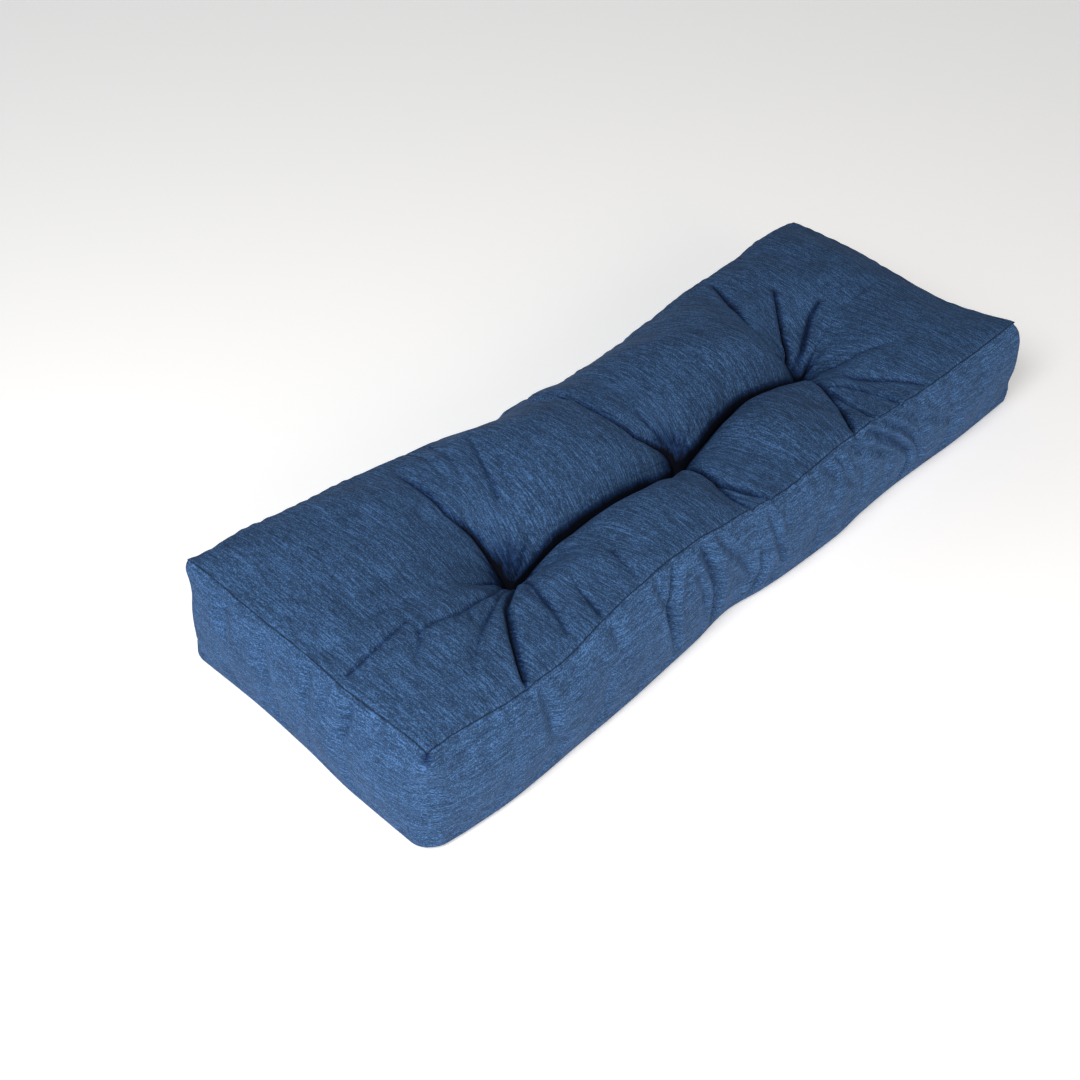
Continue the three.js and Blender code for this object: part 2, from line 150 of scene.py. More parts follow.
# Sections across the cushion: the near crest, the valley between the rows and the far crest.
# The valley is sharp where two lobes press together, and a soft dip at 0.
SECTIONS = table(
    "x near_y near_z valley_y valley_z far_y far_z sharp",
    (-600, -100, 152, -20, 153, 90, 153, 0),
    (-530, -100, 157, -22, 160, 90, 163, 0),
    (-465, -105, 156, -25, 154, 90, 166, 0),
    (-400, -114, 150, -28, 138, 92, 166, 0.05),
    (-350, -120, 148, -32, 108, 90, 160, 0.15),
    (-303, -126, 150, -33, 78, 86, 156, 0.4),
    (-265, -132, 153, -35, 62, 78, 164, 0.8),
    (-235, -136, 156, -38, 58, 74, 170, 1),
    (-180, -138, 160, -39, 62, 70, 176, 1),
    (-125, -138, 159, -39, 62, 70, 175, 1),
    (-75, -138, 152, -39, 58, 72, 169, 1),
    (-30, -132, 138, -40, 52, 82, 157, 1),
    (12, -124, 139, -37, 50, 86, 157, 1),
    (60, -124, 144, -31, 56, 80, 164, 1),
    (115, -124, 156, -22, 62, 76, 168, 1),
    (165, -124, 153, -15, 64, 76, 170, 1),
    (215, -124, 142, -18, 62, 80, 167, 1),
    (270, -118, 134, -22, 62, 90, 160, 0.9),
    (315, -111, 132, -18, 70, 98, 155, 0.5),
    (375, -104, 144, -8, 112, 100, 156, 0.2),
    (435, -100, 151, -4, 143, 98, 159, 0),
    (515, -100, 153, -4, 154, 95, 160, 0),
    (600, -100, 148, -4, 149, 95, 152, 0),
)
NEAR_LOBE = "near_y near_z"
FAR_LOBE = "far_y far_z"

# Points on either side of a crest when a lobe's outline is drawn.
OUTLINE_STEPS = 120

# How round the lobes fall to their seams, how square their faces are towards the valley (2 is an
# ellipse), how far the far row presses over it, and the gap between the rows and how softly it
# is kept.
SHOULDER = 2.1
NEAR_SQUARE = 2.4
FAR_SQUARE = 3.0
FAR_PRESS = 9.0
CLEFT_GAP = 1.6
CLEFT_EASE = 1.6

# The three tufts: where the thread holds the face down, how far it draws the cloth on its left
# and right towards itself, how far off it still does, and how deep it pulls its pit.
TUFTS = table(
    "x y left right reach pit",
    (-303, -33, 10, 20, 90, 33),
    (8, -36, 8, 20, 75, 31),
    (315, -15, 46, 6, 130, 20),
)
TUFT_PIT_RADIUS = 15.0
TUFT_DRAW_ACROSS = 110.0
# t * exp(-t * t) is 1 / 2.33 at its highest.
TUFT_DRAW_GAIN = 2.33

# Small pleats fan out round each tuft: their depth, the level that they swing about, and how far
# from the tuft they are deepest and over what width.
FAN_DEPTH = 2.2
FAN_LEVEL = 0.8
FAN_AT = 34.0
FAN_WIDTH = 22.0

# The funnels over the tufts keep the light out like folds: their share of the pit and how wide.
FUNNEL_SHADE = 0.25
FUNNEL_RADIUS = 26.0

# Gathers that run out from the tufts over the top: the line that each follows, its depth and
# half width at both ends, how crisp its floor is, how far it leans (1 has its steep side on the
# left of the line) and how far the cloth on the left laps over it.
GATHERS = (
    # line, depth, half width, crisp, lean, lap
    # First tuft: far side, then the near side from left to right.
    (((-303, -28), (-309, 25), (-320, 57), (-319, 90), (-316, 142)), (20, 5), (14, 10), 1.0, 0.3, 0),
    (((-286, 97), (-277, 131), (-264, 189)), (3, 5), (7, 7), 1.0, 0.2, 0),
    (((-277, 77), (-258, 116), (-244, 168)), (3, 4), (8, 7), 0.8, 0.2, 0),
    (((-262, 32), (-243, 73), (-207, 138)), (7, 4), (10, 8), 0.9, 0.2, 0),
    (((-248, 20), (-236, 48), (-214, 74)), (5, 3), (8, 7), 0.9, 0.3, 0),
    (((-320, -38), (-375, -68), (-439, -80), (-471, -75), (-496, -77)), (9, 4), (10, 9), 0.9, -0.3, 0),
    (((-405, -60), (-425, -83), (-436, -98)), (3, 5), (5, 5), 1.0, 0.0, 0),
    (((-492, -54), (-540, -62), (-575, -65), (-588, -64)), (4, 6), (9, 8), 1.0, -0.5, 0),
    (((-495, -74), (-504, -87), (-521, -100)), (5, 3), (6, 6), 0.9, 0.0, 0),
    (((-320, -48), (-358, -68), (-392, -92), (-434, -114), (-477, -143), (-494, -157)), (10, 4),
     (11, 11), 0.8, -0.2, 0),
    (((-316, -50), (-350, -76), (-385, -102), (-420, -146), (-441, -177), (-458, -206)), (14, 14),
     (11, 7), 1.0, -0.4, 0),
    (((-314, -62), (-342, -112), (-357, -156), (-371, -182)), (9, 4), (10, 8), 0.9, 0.0, 0),
    (((-340, -92), (-352, -117), (-352, -140)), (5, 3), (6, 6), 1.0, 0.2, 0),
    (((-306, -138), (-316, -165), (-325, -195)), (4, 7), (6, 5), 1.0, 0.2, 0),
    (((-236, -132), (-246, -153), (-250, -178)), (5, 3), (6, 6), 1.0, 0.2, 0),
    (((-303, -33), (-284, -53), (-256, -86)), (15, 2), (20, 18), 0.0, 0.0, 0),
    # Second tuft: the fold that laps over the far side, then the pleat on the near side.
    (((8, -28), (-12, -14), (-33, 8), (-41, 38), (-44, 70), (-45, 102), (-47, 140), (-50, 190)), (22, 16),
     (11, 9), 1.0, 0.0, 4),
    (((6, -22), (-2, 8), (2, 34)), (9, 4), (9, 8), 0.9, 0.3, 0),
    (((-50, 100), (-60, 120), (-76, 142)), (9, 6), (6, 6), 1.0, 0.2, 0),
    (((2, -46), (-12, -86), (-24, -124), (-16, -160), (-6, -196)), (19, 13), (10, 6), 1.0, -0.3, 0),
    (((-30, -130), (-38, -162), (-45, -196)), (11, 11), (6, 5), 1.0, -0.3, 0),
    # Third tuft: far side from left to right, the far end, and the near side.
    (((304, -4), (288, 30), (295, 67), (309, 108), (345, 172)), (21, 8), (12, 9), 1.0, 0.3, 0),
    (((318, 0), (334, 20), (362, 59), (388, 89)), (18, 8), (10, 7), 1.0, 0.2, 0),
    (((322, -6), (350, 3), (371, 13), (398, 27), (425, 32)), (15, 7), (10, 7), 1.0, 0.0, 0),
    (((324, -14), (360, -22), (400, -26)), (4, 2), (13, 14), 0.3, 0.0, 0),
    (((322, -24), (342, -62), (378, -92), (412, -112)), (8, 3), (12, 11), 0.8, 0.0, 0),
    (((312, -28), (306, -66), (314, -110), (340, -150), (359, -196)), (10, 7), (10, 8), 1.0, -0.3, 0),
    (((304, -30), (280, -68), (256, -102), (230, -142), (186, -192)), (19, 13), (12, 8), 1.0, -0.4, 0),
    (((262, -104), (246, -146), (236, -196)), (11, 9), (7, 6), 1.0, -0.3, 0),
    (((258, -69), (274, -98), (292, -132), (298, -168), (293, -196)), (8, 12), (8, 6), 1.0, -0.3, 0),
)

# How fast a gather's sides fade, and how far its crispness brings their power down from 2.
TROUGH_FALL = 1.35
TROUGH_CRISP = 0.85

# The low ridge beside a gather and the lap over it: the ridge's share of the depth, and where
# each is and how wide, in half widths.
RIDGE_SHARE = 0.05
RIDGE_AT = 1.7
RIDGE_WIDTH = 0.7
LAP_AT = 1.1
LAP_WIDTH = 0.8

# A gather holds the cloth more and more firmly as it goes from the first depth to the second.
FIRM_DEPTHS = (2.0, 9.0)

# The bottom of a crisp crease is a slit: its share of the depth and its half width.
SLIT_SHARE = 0.45
SLIT_WIDTH = 3.4

# Folds in the side band: side, the line that each follows from place to place along the side and
# down from the seam, its depth and its half width.
NEAR, RIGHT, FAR, LEFT = range(4)
BAND_FOLDS = (
    (NEAR, ((-446, 6), (-438, 40), (-434, 80)), 4.5, 11),
    (NEAR, ((-322, 6), (-312, 50)), 3.0, 12),
    (NEAR, ((-238, 4), (-229, 40), (-214, 90)), 4.0, 8),
    (NEAR, ((-196, 4), (-210, 30), (-221, 62), (-206, 120)), 7.0, 9),
    (NEAR, ((-165, 34), (-156, 62), (-149, 98)), 4.0, 7),
    (NEAR, ((-146, 6), (-136, 40), (-125, 80), (-122, 138)), 9.0, 12),
    (NEAR, ((-120, 4), (-68, 74), (-50, 108)), 4.5, 8),
    (NEAR, ((-39, 62), (-36, 105), (-45, 140)), 6.0, 8),
    (NEAR, ((-18, 20), (-10, 60), (8, 112)), 5.0, 8),
    (NEAR, ((99, 4), (130, 34), (164, 68)), 3.5, 8),
    (NEAR, ((132, 4), (152, 48)), 4.0, 7),
    (NEAR, ((160, 6), (205, 34), (249, 66)), 4.0, 7),
    (NEAR, ((204, 4), (262, 50), (300, 92), (290, 140)), 8.0, 8),
    (NEAR, ((242, 2), (302, 58), (331, 118)), 6.0, 7),
    (NEAR, ((276, 4), (345, 46), (420, 92)), 3.5, 8),
    (RIGHT, ((-90, 10), (-80, 130)), 4.0, 22),
    (RIGHT, ((60, 10), (52, 120)), 3.0, 22),
    (FAR, ((-305, 10), (-293, 130)), 5.0, 20),
    (FAR, ((-180, 10), (-190, 120)), 3.0, 18),
    (FAR, ((-48, 10), (-66, 130)), 7.0, 20),
    (FAR, ((20, 8), (36, 120)), 5.0, 18),
    (FAR, ((160, 10), (168, 120)), 3.0, 20),
    (FAR, ((345, 10), (357, 130)), 5.0, 20),
    (LEFT, ((-91, 4), (-93, 32), (-84, 66)), 5.5, 9),
    (LEFT, ((-52, 8), (-58, 46)), 3.5, 8),
    (LEFT, ((-20, 6), (-30, 56)), 3.0, 11),
    (LEFT, ((58, 14), (42, 82)), 3.0, 14),
    (LEFT, ((128, 8), (120, 60)), 3.0, 14),
)

# What a band fold's half width and depth are multiplied by, and the share of the depth that
# darkens it. Then the swell beside it: its share, and where it is and how wide, in half widths.
FOLD_WIDTH = 0.85
FOLD_DEPTH = 1.25
FOLD_SHADE = 0.45
BESIDE_SHARE = 0.25
BESIDE_AT = 1.8
BESIDE_WIDTH = 0.8

# Puckers where the seam gathers the cloth: their height, their usual width along the seam and how
# far they reach from it.
PUCKER_HEIGHT = 0.24
PUCKER_WIDTH = 26.0
PUCKER_REACH = 14.0

# Lumps of the stuffing: their usual size, their height and their seed. The last are the seam's
# own slow wander up and down, which fades away from it.
TOP_LUMPS = (120.0, 1.1, 7)
BAND_LUMPS = (90.0, 0.9, 11)
SEAM_LUMPS = (75.0, 0.7, 3)
SEAM_LUMPS_REACH = 12.0

# The side band stands proud of its seams and turns under at a rounded foot.
FOOT_HEIGHT = 8.0
FOOT_INSET = 15.0
SWELL_SKEW = 0.75
EAR_REACH = 40.0

# The four corners, anticlockwise from the near left one: how round the band's upright edge is,
# the share of the swell there, the pinch where the seams meet, the pouch that fills out under it,
# how far down that is fullest, and how far the tip stands out.
CORNERS = table(
    "radius swell pinch pouch down ear",
    (26, 0.8, 7.0, 2.5, 18, 3),
    (13, 0.8, 7.0, 1.5, 36, 0),
    (20, 0.6, 4.0, 2.0, 16, -3),
    (26, 0.35, 3.5, 2.0, 10, 3),
)

# How far along the seam a corner changes the swell, and how far its pinch and its pouch reach
# along the seam and down from it. PINCH_SHADE is the share of a pinch's depth that darkens it.
CORNER_REACH = 45.0
PINCH_ALONG = 4.2
PINCH_DOWN = 11.0
PINCH_SHADE = 1.4
POUCH_ALONG = 20.0
POUCH_DOWN = 16.0

# How far in from each end the panel takes on the line of the end seam.
END_REACH = 0.55
END_ROLL = 95.0

# The seam: a narrow groove where the two cloths turn in to their stitches.
SEAM_GROOVE = 2.4
SEAM_GROOVE_WIDTH = 1.3
SEAM_ROLL = 0.7
SEAM_ROLL_AT = 6.0
SEAM_ROLL_WIDTH = 4.0
# The cloths turn in by this share of the groove's depth. On the band the groove and its roll are
# measured along this height, a little less than the cut one.
SEAM_TURN = 0.8
DRAWN_BAND = 145.0

# The stuffing pass: the cloth is soft in bending and firm along its yarns, and air slows it down.
CLOTH = {
    "quality": 6,
    "mass": 0.25,
    "tension_stiffness": 20,
    "compression_stiffness": 12,
    "shear_stiffness": 6,
    "bending_stiffness": 0.35,
    "tension_damping": 8,
    "compression_damping": 8,
    "bending_damping": 0.6,
    "air_damping": 2,
    "pin_stiffness": 1.0,
    "use_pressure": True,
}

# How firmly the gathers and the seam hold the cloth in that pass, how far from the valley and the
# seam the hold reaches, and the number of steps that it is rounded to.
GATHER_HOLD = 0.9
SEAM_HOLD = 0.85
VALLEY_HOLD_REACH = 12.0
SEAM_HOLD_REACH = 5.0
HOLD_STEPS = 20

# Rings of cells in the roll under the foot, in the stuffing pass and in the finished cover.
COARSE_SOLE_RINGS = 2
SOLE_RINGS = 5

# In metres: how high the seam's stitches lie on the cloth, and how far from a tuft's place the
# floor of its pit is looked for.
STITCH_LIFT = 0.0004
PIT_SEARCH = 0.014

# In metres: half the floor's side, and how far it lies under the cushion.
FLOOR_HALF = 12.0
FLOOR_DROP = 0.0008


def smooth(value, low, high):
    """0 below low, 1 above high, and a soft step between them."""
    t = np.clip((value - low) / (high - low), 0.0, 1.0)
    return t * t * (3.0 - 2.0 * t)


def mound(value, width):
    """1 where the value is 0, and next to nothing from twice the width on."""
    return np.exp(-((value / width) ** 2))


def curve(rows, key, column, at):
    """A smooth curve through a table's column that doesn't overshoot its rows."""
    place, value = rows[key], rows[column]
    step = np.diff(place)
    slope = np.diff(value) / step
    before, after = slope[:-1], slope[1:]
    same_way = before * after > 0
    total = np.where(same_way, before + after, 1.0)
    inner = np.where(same_way, 2.0 * before * after / total, 0.0)
    tangent = np.concatenate([slope[:1], inner, slope[-1:]])
    at = np.clip(at, place[0], place[-1])
    i = np.clip(np.searchsorted(place, at) - 1, 0, len(step) - 1)
    t = (at - place[i]) / step[i]
    leave = tangent[i] * step[i] * t * (1.0 - t) ** 2
    arrive = tangent[i + 1] * step[i] * t * t * (1.0 - t)
    return value[i] + (value[i + 1] - value[i]) * t * t * (3.0 - 2.0 * t) + leave - arrive


def curves(rows, key, columns, at):
    """The curves through several of a table's columns."""
    return [curve(rows, key, column, at) for column in columns.split()]


def closer_at_ends(length, cells):
    """Shares of a length that lie closer together beside both its ends."""
    place = np.linspace(0.0, length, 4001)
    beside = np.exp(-place / CROWD_REACH) + np.exp(-(length - place) / CROWD_REACH)
    density = 1.0 + CROWD * beside
    run = np.concatenate([[0.0], np.cumsum((density[1:] + density[:-1]) / 2)])
    return np.interp(np.linspace(0.0, 1.0, cells + 1), run / run[-1], place) / length


def pressed_face(reach, square):
    """Height share of a stuffed lobe's face: 1 at its crest and 0 in the valley."""
    return (1.0 - reach**square) ** (1.0 / square)


def lobe_outline(x, side, lobe, shares):
    """One lobe's outline across the cushion, from its seam over its crest to the valley."""
    seam_y, seam_z = curves(side, "x", "y z", x)
    crest_y, crest_z = curves(SECTIONS, "x", lobe, x)
    valley_y, valley_z, sharp = curves(SECTIONS, "x", "valley_y valley_z sharp", x)
    far = lobe == FAR_LOBE
    back = np.linspace(1.0, 0.0, OUTLINE_STEPS)
    reach = np.sin(np.linspace(0.0, math.pi / 2, OUTLINE_STEPS))[1:]
    pressed = pressed_face(reach, FAR_SQUARE if far else NEAR_SQUARE)
    soft = (1.0 + np.cos(math.pi * reach)) / 2.0
    height = soft + (pressed - soft) * sharp
    face_y = crest_y + (valley_y - crest_y) * reach
    face_z = valley_z + (crest_z - valley_z) * height
    if far:
        face_y -= FAR_PRESS * sharp * reach**3
        near_y, near_z = curves(SECTIONS, "x", NEAR_LOBE, x)
        share = np.clip((face_z - valley_z) / (near_z - valley_z), 0.0, 1.0)
        wall = near_y + (valley_y - near_y) * pressed_face(share, NEAR_SQUARE) + CLEFT_GAP
        clear = face_y - wall
        face_y = face_y + sharp * (np.logaddexp(0.0, clear / CLEFT_EASE) * CLEFT_EASE - clear)
    y = np.concatenate([crest_y + (seam_y - crest_y) * back, face_y])
    z = np.concatenate([crest_z - (crest_z - seam_z) * back**SHOULDER, face_z])
    run = np.concatenate([[0.0], np.cumsum(np.hypot(np.diff(y), np.diff(z)))])
    wanted = shares * run[-1]
    return np.stack([np.interp(wanted, run, y), np.interp(wanted, run, z), wanted], -1)


def line_distance(x, y, points):
    """Signed distance from a drawn line, positive on its left, the share along it and its way."""
    points = np.array(points, float)
    lengths = np.hypot(*np.diff(points, axis=0).T)
    best = np.full(x.shape, 1e9)
    side = np.ones(x.shape)
    share = np.zeros(x.shape)
    way_x, way_y = np.zeros(x.shape), np.zeros(x.shape)
    run = 0.0
    for start, end, length in zip(points[:-1], points[1:], lengths):
        way = (end - start) / length
        ahead = (x - start[0]) * way[0] + (y - start[1]) * way[1]
        across = (y - start[1]) * way[0] - (x - start[0]) * way[1]
        held = np.clip(ahead, 0.0, length)
        distance = np.hypot(ahead - held, across)
        closer = distance < best
        best = np.where(closer, distance, best)
        side = np.where(closer, np.where(across >= 0, 1.0, -1.0), side)
        share = np.where(closer, (run + held) / lengths.sum(), share)
        way_x = np.where(closer, way[0], way_x)
        way_y = np.where(closer, way[1], way_y)
        run += length
    return best * side, share, way_x, way_y


def gather_depth(x, y):
    """How deep the gathers press the top in, how firmly they hold it, and where it laps over."""
    trough_total = np.zeros(x.shape)
    ridge_total = np.zeros(x.shape)
    lap_x, lap_y = np.zeros(x.shape), np.zeros(x.shape)
    for line, depth, wide, crisp, lean, lap in GATHERS:
        off, share, way_x, way_y = line_distance(x, y, line)
        half = wide[0] + (wide[1] - wide[0]) * share
        half = half * np.where(off > 0, 1.0 - 0.5 * lean, 1.0 + 0.5 * lean)
        t = np.abs(off) / half
        slit = SLIT_SHARE * crisp
        trough = (1.0 - slit) * np.exp(-TROUGH_FALL * t ** (2.0 - TROUGH_CRISP * crisp))
        trough += slit * np.exp(-((np.abs(off) / SLIT_WIDTH) ** 1.5))
        ridge = RIDGE_SHARE * mound(t - RIDGE_AT, RIDGE_WIDTH)
        deep = depth[0] + (depth[1] - depth[0]) * share
        trough_total += (deep * trough) ** 3
        ridge_total += deep * ridge
        if lap:
            slide = lap * mound(t - LAP_AT, LAP_WIDTH) * (off > 0) * smooth(share, 0.05, 0.3)
            lap_x += slide * way_y
            lap_y -= slide * way_x
    trough_total = np.cbrt(trough_total)
    return trough_total - ridge_total, smooth(trough_total, *FIRM_DEPTHS), lap_x, lap_y


def stuffing_lumps(x, y, size, height, seed):
    """Low, irregular lumps of the fibre under the cloth."""
    random = np.random.default_rng(seed)
    total = np.zeros(np.broadcast(x, y).shape)
    waves = 14
    for _ in range(waves):
        angle = random.uniform(0, math.pi)
        length = size * random.uniform(0.7, 1.6)
        phase = random.uniform(0, 2 * math.pi)
        total += np.sin(2 * math.pi * (x * math.cos(angle) + y * math.sin(angle)) / length + phase)
    return height * total / math.sqrt(waves)


def seam_puckers(run, gap, seed):
    """Small irregular puckers square to a seam, that fade away from it."""
    random = np.random.default_rng(seed)
    total = np.zeros(np.shape(run))
    waves = 9
    for _ in range(waves):
        width = PUCKER_WIDTH * random.uniform(0.5, 1.7)
        total = total + np.sin(2 * math.pi * run / width + random.uniform(0, 2 * math.pi))
    swing = 0.5 + 0.5 * np.sin(run / 61.0 + seed) * np.sin(run / 37.0)
    return PUCKER_HEIGHT * total * swing * np.exp(-np.abs(gap) / PUCKER_REACH)


def depth_in_folds(points, cell=2.0, reach=6):
    """How far each point lies below the surface that a broad, flat finger could touch."""
    i = np.round((points[..., 0] - points[..., 0].min()) / cell).astype(int) + reach
    j = np.round((points[..., 1] - points[..., 1].min()) / cell).astype(int) + reach
    top = np.full((i.max() + reach + 1, j.max() + reach + 1), -1e3)
    np.maximum.at(top, (i, j), points[..., 2])
    disc = [
        (a, b)
        for a in range(-reach, reach + 1)
        for b in range(-reach, reach + 1)
        if a * a + b * b <= reach * reach
    ]
    raised = np.max([np.roll(top, step, (0, 1)) for step in disc], axis=0)
    closed = np.min([np.roll(raised, step, (0, 1)) for step in disc], axis=0)
    return closed[i, j] - points[..., 2]


def grid_normals(points):
    """The outward normal at each point of a grid of points."""
    along_i = np.gradient(points, axis=0)
    along_j = np.gradient(points, axis=1)
    normal = np.cross(along_i, along_j)
    return normal / np.maximum(np.linalg.norm(normal, axis=-1, keepdims=True), 1e-9)


def end_shift(x, y, z):
    """The panel moved to follow the nearer end seam."""
    ends = zip(curves(LEFT_END, "y", "x z", y), curves(RIGHT_END, "y", "x z", y))
    seam_x, seam_z = (np.where(x < 0, left, right) for left, right in ends)
    out = np.abs(x) / (LENGTH / 2)
    pull = np.clip((out - 1.0 + END_REACH) / END_REACH, 0.0, 1.0) ** 2
    roll = np.clip((np.abs(x) - LENGTH / 2 + END_ROLL) / END_ROLL, 0.0, 1.0) ** 3
    return x + pull * (seam_x - np.sign(x) * LENGTH / 2), z + (seam_z - z) * roll


def tuft_draw(x, y):
    """How far the cloth is drawn along x towards the tufts."""
    moved = np.zeros(x.shape)
    for tuft_x, tuft_y, left, right, reach in rows_of(TUFTS, "x y left right reach"):
        away = (x - tuft_x) / reach
        aside = (y - tuft_y) / TUFT_DRAW_ACROSS
        draw = np.where(x < tuft_x, left, right) * TUFT_DRAW_GAIN
        moved -= draw * away * np.exp(-away * away - aside * aside)
    return moved


def seam_roll(gap):
    """How high the cloth rolls up beside the seam."""
    return SEAM_ROLL * mound(gap - SEAM_ROLL_AT, SEAM_ROLL_WIDTH)


class PanelGrid:
    """The tufted top as a grid of points, with the cloth's own lengths for the weave."""

    def __init__(self, cells_length, cells_near, cells_far):
        shares_near = closer_at_ends(NEAR_CLOTH, cells_near)
        shares_far = closer_at_ends(FAR_CLOTH, cells_far)
        stations = np.linspace(-LENGTH / 2, LENGTH / 2, 601)
        sections = []
        for x in stations:
            near = lobe_outline(x, NEAR_SIDE, NEAR_LOBE, shares_near)
            far = lobe_outline(x, FAR_SIDE, FAR_LOBE, shares_far)
            far[:, 2] = near[-1, 2] + far[-1, 2] - far[:, 2]
            sections.append(np.concatenate([near, far[::-1][1:]]))
        across_y, across_z, across_run = np.moveaxis(np.array(sections), 2, 0)
        cut_x = LENGTH * (closer_at_ends(LENGTH, cells_length) - 0.5)
        self.along = np.repeat(cut_x[:, None], across_y.shape[1], 1)
        x = self.along
        for _ in range(3):
            x = self.along + tuft_draw(self.along, self._read(stations, across_y, x))
        y = self._read(stations, across_y, x)
        z = self._read(stations, across_z, x)
        self.across = self._read(stations, across_run, x)
        x, z = end_shift(x, y, z)
        self.points = np.stack([x, y, z], -1)
        self.side_gap = np.minimum(self.across, self.across[:, -1:] - self.across)
        self.end_gap = LENGTH / 2 - np.abs(self.along)
        self.seam_gap = np.minimum(self.side_gap, self.end_gap)
        self.shape = x.shape
        self.cells = (x.shape[0] - 1, x.shape[1] - 1)
        self.held = np.zeros(x.shape)
        self.funnel = np.zeros(x.shape)

    @staticmethod
    def _read(stations, values, x):
        return np.stack([np.interp(x[:, j], stations, values[:, j]) for j in range(x.shape[1])], 1)

    def off_valley(self):
        """How far each point is from the valley, across the cushion."""
        return np.abs(self.points[..., 1] - curve(SECTIONS, "x", "valley_y", self.points[..., 0]))

    def gather(self):
        """Presses in the gathers and the tufts' pits, and lets the stuffing show as low lumps."""
        x, y = self.points[..., 0], self.points[..., 1]
        depth, self.held, lap_x, lap_y = gather_depth(x, y)
        free = 0.3 + 0.7 * smooth(self.off_valley(), 4.0, 30.0)
        edge = 0.35 + 0.65 * smooth(self.seam_gap, 0.0, 16.0)
        depth = depth * free * edge
        depth -= seam_puckers(x, self.side_gap, 1) + seam_puckers(y, self.end_gap, 2)
        depth -= stuffing_lumps(x, y, *TOP_LUMPS) * smooth(self.seam_gap, 0.0, 50.0)
        pit = np.zeros(x.shape)
        for tuft_x, tuft_y, deep in rows_of(TUFTS, "x y pit"):
            away = np.hypot(x - tuft_x, y - tuft_y)
            pit += deep * np.exp(-away / TUFT_PIT_RADIUS)
            self.funnel += FUNNEL_SHADE * deep * mound(away, FUNNEL_RADIUS)
            angle = np.arctan2(y - tuft_y, x - tuft_x)
            fan = np.abs(np.sin(angle * 5.5 + tuft_x)) + 0.6 * np.abs(np.sin(angle * 8.5 - tuft_x))
            depth += FAN_DEPTH * (FAN_LEVEL - fan) * mound(away - FAN_AT, FAN_WIDTH)
        normal = grid_normals(self.points)
        normal[..., 2] = np.maximum(normal[..., 2], 0.25)
        normal /= np.linalg.norm(normal, axis=-1, keepdims=True)
        self.points = self.points - normal * depth[..., None]
        self.points[..., 2] -= pit
        self.points[..., 0] += lap_x * edge
        self.points[..., 1] += lap_y * edge
        wander = stuffing_lumps(self.points[..., 0], self.points[..., 1], *SEAM_LUMPS)
        self.points[..., 2] += wander * np.exp(-self.seam_gap / SEAM_LUMPS_REACH)
        return self

    def pull_ears(self):
        """The corners stand out a little, where the seam's ends are pinched."""
        for (i, j), length in zip(((0, 0), (-1, 0), (-1, -1), (0, -1)), CORNERS["ear"]):
            tip = self.points[i, j].copy()
            near = np.clip(1.0 - np.linalg.norm(self.points - tip, axis=-1) / EAR_REACH, 0.0, 1.0)
            self.points[..., :2] += np.sign(tip[:2]) * length * near[..., None] ** 2
        return self

    @staticmethod
    def ring(values):
        """A grid's border, anticlockwise from above, starting at the near left corner."""
        return np.concatenate(
            [values[:, 0], values[-1, 1:-1], values[::-1, -1], values[0, 1:-1][::-1]]
        )


